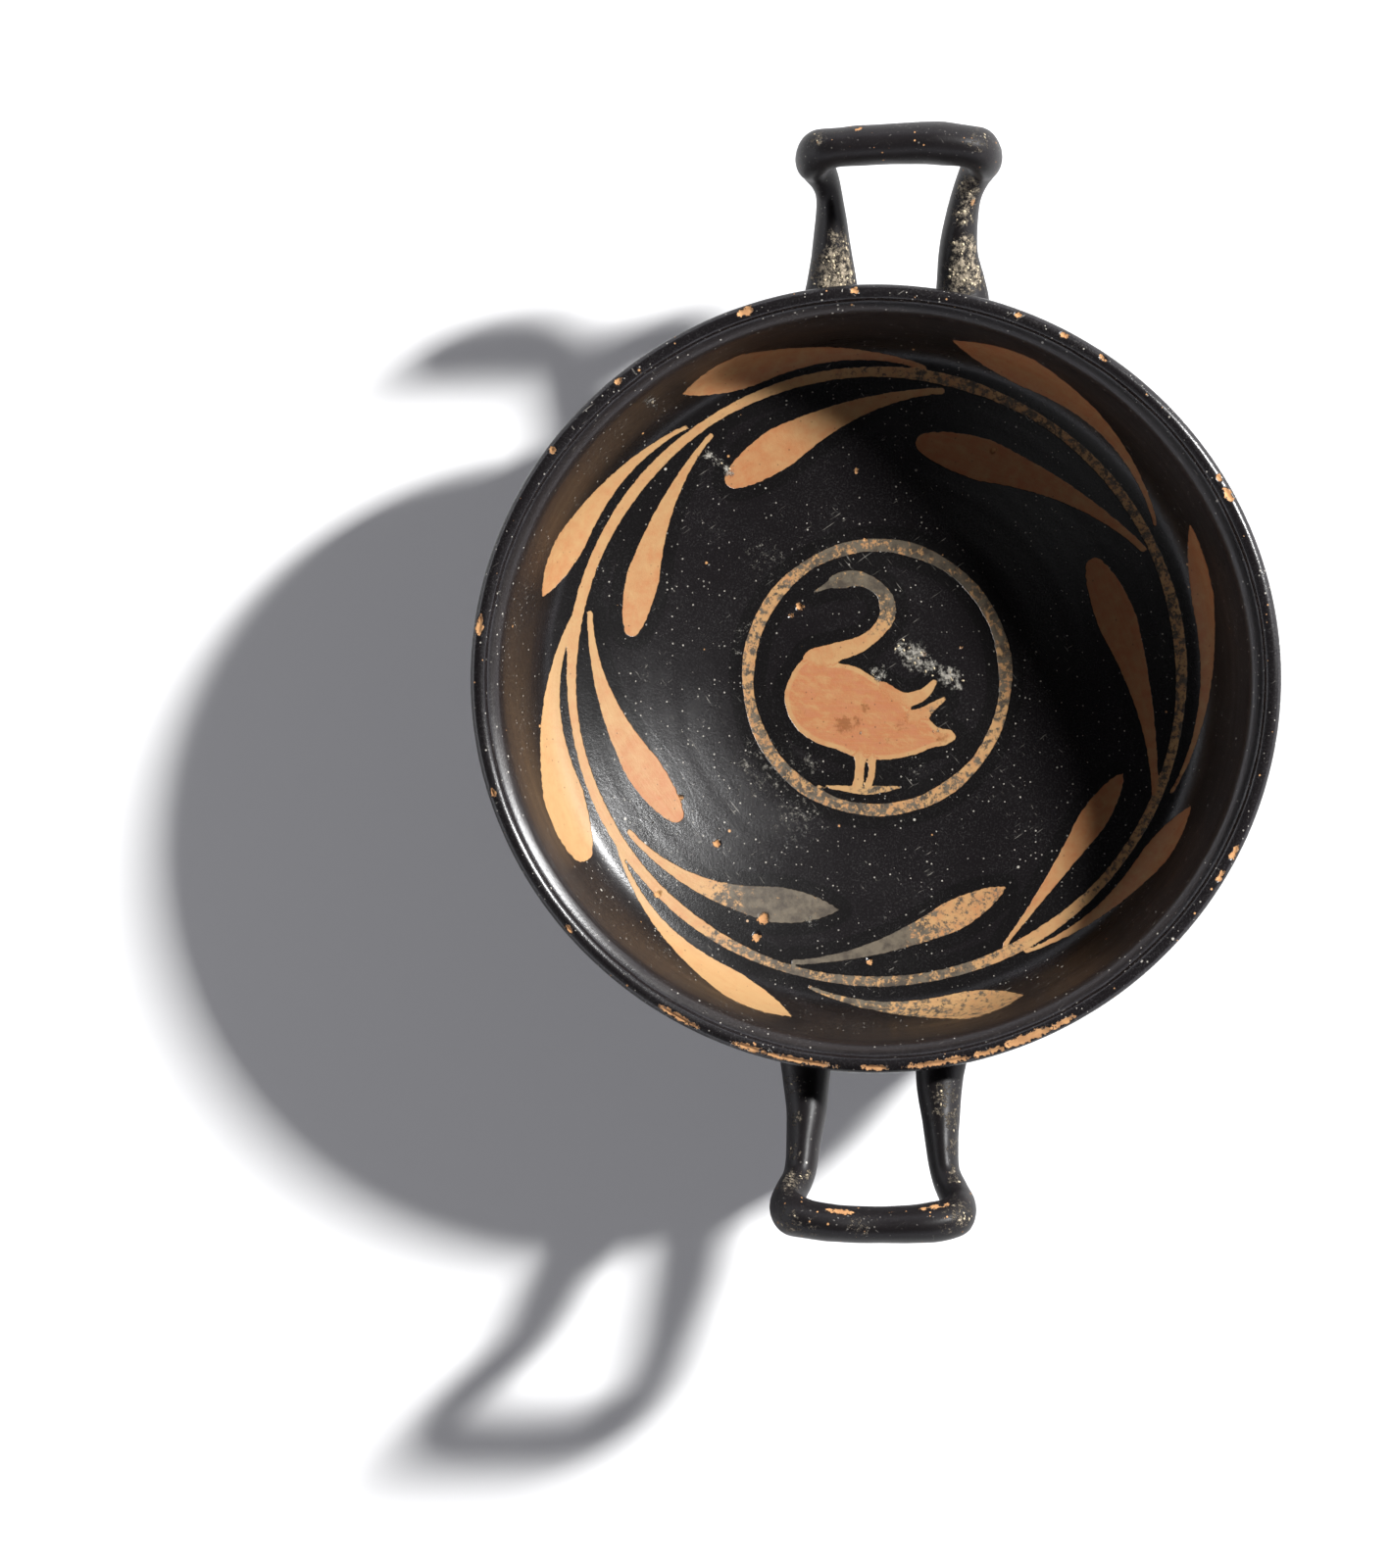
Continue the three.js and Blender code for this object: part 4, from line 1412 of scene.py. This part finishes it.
@dataclass(frozen=True)
class LimeDeposit:
    """Lime left by ground water: a chalky, matt, off-white crust with earth in its pits."""

    white: str = "a2977d"
    earth: str = "8d7d68"
    grain: float = 0.6  # millimetres between its grains

    def build(self) -> bpy.types.Material:
        """Make the material.

        Returns:
            The finished material.
        """
        material = bpy.data.materials.new("lime_deposit")
        material.use_nodes = True
        tree = material.node_tree
        tree.nodes.clear()
        node = partial(add_node, tree)
        place = node("ShaderNodeTexCoord").outputs["Object"]
        mm = node("ShaderNodeVectorMath", {0: place, "Scale": 1 / MM}, operation="SCALE")
        grain = node(NOISE, {"Vector": mm, "Scale": 1 / self.grain, "Detail": 4.0, "Roughness": 0.7})
        share = node(RANGE, (grain, 0.4, 0.7), **SMOOTH)
        ends = {6: linear(self.white), 7: linear(self.earth)}
        colour = node(MIX, {0: share, **ends}, **COLOURS).outputs[2]
        bump = node("ShaderNodeBump", {"Strength": 1.0, "Distance": 0.2 * MM, "Height": grain})
        skin = node("ShaderNodeBsdfPrincipled", {"Base Color": colour, "Roughness": 0.95, "Normal": bump})
        node("ShaderNodeOutputMaterial", {"Surface": skin})
        return material


@dataclass(frozen=True)
class StudioFloor:
    """Matt white table board, with nothing to see on it but the shadow."""

    white: str = "c1c1c1"

    def build(self) -> bpy.types.Material:
        """Make the material.

        Returns:
            The finished material.
        """
        material = bpy.data.materials.new("matt_white_board")
        material.use_nodes = True
        skin = material.node_tree.nodes["Principled BSDF"]
        skin.inputs["Base Color"].default_value = linear(self.white)
        skin.inputs["Roughness"].default_value = 0.9
        skin.inputs["Specular IOR Level"].default_value = 0.1
        return material


# ---- The cup ------------------------------------------------------------------------------------


@dataclass(frozen=True)
class Skin:
    """What one part of the cup hands on to the joined mesh."""

    spot: np.ndarray  # positions in millimetres from the axis
    normal: np.ndarray
    fields: Fields


class Kylix:
    """The whole cup: bowl and handles joined into one fired piece."""

    def __init__(self) -> None:
        """Set out the bowl and its two handles."""
        self.handles = [Handle(NORTH), Handle(SOUTH)]
        self.bowl = Bowl(BowlSizes(), [root for handle in self.handles for root in handle.roots()])

    def bowl_fields(self, ball: np.ndarray, spot: np.ndarray) -> Fields:
        """Work out everything that the bowl's surface carries.

        Args:
            ball: points on the unit ball.
            spot: their positions in millimetres.

        Returns:
            Each field by name.
        """
        bowl = self.bowl
        heading, arc = bowl.split(ball)
        radius = np.hypot(spot[:, 0], spot[:, 1])
        inside, under = arc > bowl.crest + 3, arc < bowl.rest_edge + 5.4
        paint = bowl.decoration.at(spot[:, :2])
        figure = np.where(inside, paint.depth, NO_FIGURE)
        figure = np.where(under, bowl.underside_depth(radius), figure)
        angle = np.degrees(np.arctan2(heading[:, 1], heading[:, 0]))
        past_groove = arc - bowl.groove
        band_end = bowl.inside_arc(63.5) + 1.6 * np.sin(np.radians(angle * 2 + 30)) - bowl.groove
        thin = ramp(past_groove, 0.3, 1.8) * (1 - ramp(past_groove, band_end - 7, band_end + 3))
        chip = bowl.chip_depth(heading, arc, radius)
        lime, stain = np.zeros(len(spot)), np.zeros(len(spot))
        for marks, target in ((LIME_PATCHES, lime), (STAINS, stain)):
            for mark in marks:
                gap = np.hypot(spot[:, 0] - mark.x, spot[:, 1] - mark.y)
                share = 1 - ramp(gap, 0.35 * mark.radius, 1.5 * mark.radius)
                target[:] = np.maximum(target, np.where(inside, mark.strength * share, 0))
        worn_arc = {0: 0.5, 60: 0.75, 120: 0.55, 180: 0.6, 250: 0.9, 300: 0.9, 340: 0.7}
        rub = round_the_cup(angle, worn_arc) * (1 - ramp(np.abs(arc - bowl.crest + 0.3), 0.6, 3.4))
        return {
            "figure": figure,
            "rub": rub,
            "grey": np.where(inside, paint.grey, 0),
            "rosy": np.where(inside, paint.rosy, 0.6),
            "thin": thin,
            "chip": chip,
            "lime": lime,
            "stain": stain,
            "brush": np.column_stack([paint.along, paint.across, np.zeros(len(spot))]),
            "wheel": np.column_stack([heading, arc]),
        }

    def handle_fields(self, spot: np.ndarray, normal: np.ndarray) -> Fields:
        """Work out everything that a handle's surface carries.

        Args:
            spot: positions in millimetres.
            normal: unit normals.

        Returns:
            Each field by name.
        """
        count = len(spot)
        chip = np.full(count, NO_CHIP)
        for mark in HANDLE_CHIPS:
            chip = np.maximum(chip, mark.radius - np.linalg.norm(spot - (mark.x, mark.y, mark.z), axis=1))
        reach = np.abs(spot[:, 1])
        lime = np.zeros(count)
        for patch in HANDLE_LIME:
            near = 1 - np.linalg.norm(spot[:, :2] - (patch.x, patch.y), axis=1) / (2.2 * patch.radius)
            share = patch.strength * np.clip(near * 1.6, 0, 1)
            lime = np.maximum(lime, share * ramp(normal[:, 2], -0.2, 0.5))
        return {
            "figure": np.full(count, NO_FIGURE),
            "rub": 0.75 * ramp(reach, 90, 97),
            "grey": np.zeros(count),
            "rosy": np.ones(count),
            "thin": np.full(count, 0.1),
            "chip": chip,
            "lime": lime,
            "stain": np.zeros(count),
            "brush": np.zeros((count, 3)),
            "wheel": np.column_stack([spot[:, 0] * 0.02, spot[:, 2] * 0.02, reach * 0.2]),
        }

    def build(self, material: bpy.types.Material) -> bpy.types.Object:
        """Build, join and dress the cup.

        Args:
            material: finish of the clay.

        Returns:
            The finished piece.
        """
        ball, spot, faces = self.bowl.mesh()
        LOG.info("bowl skin: %d vertices, %d triangles", len(spot), len(faces))
        offset = np.array([0, AXIS_Y, 0])
        cup = link_mesh("bowl", (spot + offset) * MM, faces.tolist())
        skins = [Skin(spot, self.bowl.normals(ball), self.bowl_fields(ball, spot))]
        rods = []
        for handle in self.handles:
            rod = handle.build(material)
            rods.append(rod)
            count = len(rod.data.vertices)
            where, normal = np.zeros(count * 3, np.float32), np.zeros(count * 3, np.float32)
            rod.data.vertices.foreach_get("co", where)
            rod.data.vertex_normals.foreach_get("vector", normal)
            at = where.reshape(-1, 3).astype(float) / MM - offset
            normal = normal.reshape(-1, 3)
            skins.append(Skin(at, normal.astype(float), self.handle_fields(at, normal)))
            join = cup.modifiers.new(rod.name, "BOOLEAN")
            join.operation, join.solver, join.object = "UNION", "MANIFOLD", rod
        piece = as_plain_mesh(cup, "kylix")
        for rod in rods:
            LOG.info("%s: %d vertices", rod.name, len(rod.data.vertices))
            bpy.data.objects.remove(rod)
        self.dress(piece, skins, material)
        return piece

    def dress(self, piece: bpy.types.Object, skins: list[Skin], material: bpy.types.Material) -> None:
        """Give the joined cup the fields and normals of the parts it came from.

        Args:
            piece: the joined cup.
            skins: positions, normals and fields of each part.
            material: finish of the clay.
        """
        where = np.vstack([skin.spot for skin in skins])
        normals = np.vstack([skin.normal for skin in skins])
        fields = {name: np.concatenate([skin.fields[name] for skin in skins]) for name in skins[0].fields}
        tree = kdtree.KDTree(len(where))
        for number, point in enumerate(where):
            tree.insert(point, number)
        tree.balance()
        mesh = piece.data
        offset = Vector((0, AXIS_Y, 0))
        found = [tree.find(v.co / MM - offset) for v in mesh.vertices]
        index = np.array([f[1] for f in found])
        gap = np.array([f[2] for f in found])
        for name, values in fields.items():
            kind = "FLOAT" if values.ndim == 1 else "FLOAT_VECTOR"
            layer = mesh.attributes.new(name, kind, "POINT")
            slot = "value" if values.ndim == 1 else "vector"
            layer.data.foreach_set(slot, values[index].astype(np.float32).ravel())
        mesh.materials.clear()
        mesh.materials.append(material)
        mesh.polygons.foreach_set("material_index", np.zeros(len(mesh.polygons), np.int32))
        mesh.polygons.foreach_set("use_smooth", np.ones(len(mesh.polygons), bool))
        plain = np.zeros(len(mesh.vertices) * 3, np.float32)
        mesh.vertex_normals.foreach_get("vector", plain)
        own = plain.reshape(-1, 3)
        kept = np.where((gap < SAME_SPOT)[:, None], normals[index], own)
        mesh.normals_split_custom_set_from_vertices(kept.tolist())
        seam = int((gap >= SAME_SPOT).sum())
        LOG.info("cup: %d vertices, %d faces, %d on the seams", len(mesh.vertices), len(mesh.polygons), seam)


class LimeCrust:
    """Grains of lime scattered over the places where it built up."""

    def build(self, cup: bpy.types.Object, material: bpy.types.Material) -> bpy.types.Object:
        """Scatter the grains with a geometry tree.

        Args:
            cup: the finished cup, which carries the lime field.
            material: finish of the lime.

        Returns:
            The grains as one plain mesh.
        """
        tree = bpy.data.node_groups.new("lime_grains", "GeometryNodeTree")
        ids = interface(
            tree,
            {
                "Grains Per Square Metre": ("NodeSocketFloat", 400000.0),
                "Grain Radius": ("NodeSocketFloat", 0.34 * MM),
                "Flatness": ("NodeSocketFloat", 0.35),
                "Seed": ("NodeSocketInt", 5),
                "Material": ("NodeSocketMaterial", None),
            },
        )
        node = partial(add_node, tree)
        given = node("NodeGroupInput").outputs
        named = node("GeometryNodeInputNamedAttribute", {"Name": "lime"}, data_type="FLOAT")
        lime = named.outputs["Attribute"]
        thick = node(RANGE, {"Value": lime, "From Min": 0.6, "From Max": 1.0, "To Max": 1.0})
        density = node(MATH, (thick, given["Grains Per Square Metre"]), operation="MULTIPLY")
        scatter = {"Mesh": given["Geometry"], "Density": density, "Seed": given["Seed"]}
        points = node("GeometryNodeDistributePointsOnFaces", scatter, distribute_method="RANDOM")
        grain = node("GeometryNodeMeshIcoSphere", {"Radius": given["Grain Radius"], "Subdivisions": 1})
        limits = {"Min": (0.35, 0.35, 0.35), "Max": (1.2, 1.2, 1.0), "Seed": given["Seed"]}
        size = node("FunctionNodeRandomValue", limits, data_type="FLOAT_VECTOR")
        flat = node("ShaderNodeCombineXYZ", (1.0, 1.0, given["Flatness"]))
        placing = {
            "Points": points,
            "Instance": grain,
            "Rotation": points.outputs["Rotation"],
            "Scale": node("ShaderNodeVectorMath", (size, flat), operation="MULTIPLY"),
        }
        set_down = node("GeometryNodeInstanceOnPoints", placing)
        real = node("GeometryNodeRealizeInstances", (set_down,))
        smooth = node("GeometryNodeSetShadeSmooth", (real,))
        dressed = node("GeometryNodeSetMaterial", {"Geometry": smooth, "Material": given["Material"]})
        node("NodeGroupOutput", (dressed,))
        source = bpy.data.objects.new("lime_source", cup.data.copy())
        bpy.context.scene.collection.objects.link(source)
        apply_tree(source, tree, {ids["Material"]: material})
        made = as_plain_mesh(source, "lime_crust")
        LOG.info("lime_crust: %d faces", len(made.data.polygons))
        return made


# ---- Stage --------------------------------------------------------------------------------------


@dataclass(frozen=True)
class Studio:
    """Floor, light and camera: one hard lamp from the upper right and weak soft light all round."""

    floor_half: float = 3000.0
    floor_drop: float = 0.05  # keeps the cup's foot and the floor from lying in one plane
    lamp: tuple[float, float, float] = (1030.0, 595.0, 895.0)
    lamp_size: tuple[float, float] = (90.0, 150.0)
    lamp_power: float = 80.0
    reflector: tuple[float, float, float] = (-840.0, -840.0, 920.0)
    reflector_size: tuple[float, float] = (850.0, 850.0)
    reflector_power: float = 1.3
    low_panel: tuple[float, float, float] = (-520.0, 60.0, 110.0)
    low_panel_size: tuple[float, float] = (500.0, 160.0)
    low_panel_power: float = 0.45
    # Soft light by height: where each stop stands between the horizon and straight up, and its strength.
    horizon: tuple[tuple[float, float], ...] = ((0.0, 4.2), (0.24, 3.1), (0.38, 0.1), (1.0, 0.012))
    soft_tint: tuple[float, float, float] = (0.97, 0.97, 1.06)
    lens: float = 153.0
    camera_rise: float = 1250.0  # above the rim
    aim: tuple[float, float] = (-33.8, -19.7)  # middle of the view on the plane of the rim

    def floor(self) -> bpy.types.Object:
        """Lay the floor.

        Returns:
            The floor board.
        """
        half, down = self.floor_half * MM, -self.floor_drop * MM
        square = ((-half, -half), (half, -half), (half, half), (-half, half))
        corners = np.array([(x, y, down) for x, y in square])
        board = link_mesh("floor", corners, [[0, 1, 2, 3]])
        board.data.materials.append(StudioFloor().build())
        return board

    def light(self) -> None:
        """Hang the lamp and set the soft light."""
        hung = (
            ("key_lamp", self.lamp, self.lamp_size, self.lamp_power),
            ("reflector", self.reflector, self.reflector_size, self.reflector_power),
            ("low_panel", self.low_panel, self.low_panel_size, self.low_panel_power),
        )
        for name, place, sides, power in hung:
            data = bpy.data.lights.new(name, "AREA")
            data.shape = "RECTANGLE"
            data.size, data.size_y = (side * MM for side in sides)
            data.energy = power
            lamp = bpy.data.objects.new(name, data)
            lamp.location = (Vector(place) + Vector((0, AXIS_Y, 0))) * MM
            target = Vector((0, AXIS_Y, 20)) * MM
            lamp.rotation_euler = (lamp.location - target).to_track_quat("Z", "Y").to_euler()
            bpy.context.scene.collection.objects.link(lamp)
        world = bpy.data.worlds.new("soft_room")
        world.use_nodes = True
        tree = world.node_tree
        tree.nodes.clear()
        way = add_node(tree, "ShaderNodeTexCoord").outputs["Generated"]
        up = add_node(tree, "ShaderNodeSeparateXYZ", {0: way}).outputs["Z"]
        shade = add_node(tree, "ShaderNodeValToRGB", {"Fac": up})
        stops = shade.color_ramp.elements
        for number, (height, strength) in enumerate(self.horizon):
            stop = stops[number] if number < 2 else stops.new(height)
            stop.position = height
            stop.color = (*(strength * part for part in self.soft_tint), 1)
        back = add_node(tree, "ShaderNodeBackground", {"Color": shade.outputs["Color"], "Strength": 1.0})
        add_node(tree, "ShaderNodeOutputWorld", {"Surface": back.outputs[0]})
        bpy.context.scene.world = world

    def camera(self) -> bpy.types.Object:
        """Stand the camera straight above the cup, with the cup to the right of the middle.

        Returns:
            The camera.
        """
        rim = BowlSizes.rim_height
        eye = Vector((0, AXIS_Y, rim + self.camera_rise)) * MM
        mark = Vector((self.aim[0], self.aim[1] + AXIS_Y, rim)) * MM
        ahead = (mark - eye).normalized()
        right = ahead.cross(Vector((0, 1, 0))).normalized()
        up = right.cross(ahead)
        data = bpy.data.cameras.new("camera")
        data.lens, data.sensor_width = self.lens, 36.0
        data.clip_start, data.clip_end = 0.1, 20.0
        made = bpy.data.objects.new("camera", data)
        made.matrix_world = Matrix.Translation(eye) @ Matrix((right, up, -ahead)).transposed().to_4x4()
        bpy.context.scene.collection.objects.link(made)
        bpy.context.scene.camera = made
        return made


def main() -> None:
    """Build everything in order."""
    logging.basicConfig(level=logging.INFO, format="%(message)s")
    bpy.context.scene.view_settings.view_transform = "Standard"
    studio = Studio()
    studio.camera()
    studio.light()
    studio.floor()
    cup = Kylix().build(SlipGlazedClay().build())
    crust = LimeCrust().build(cup, LimeDeposit().build())
    for piece in (cup, crust):
        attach(piece, BODY)
    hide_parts(CAD_NODE)


if __name__ == "__main__":
    main()
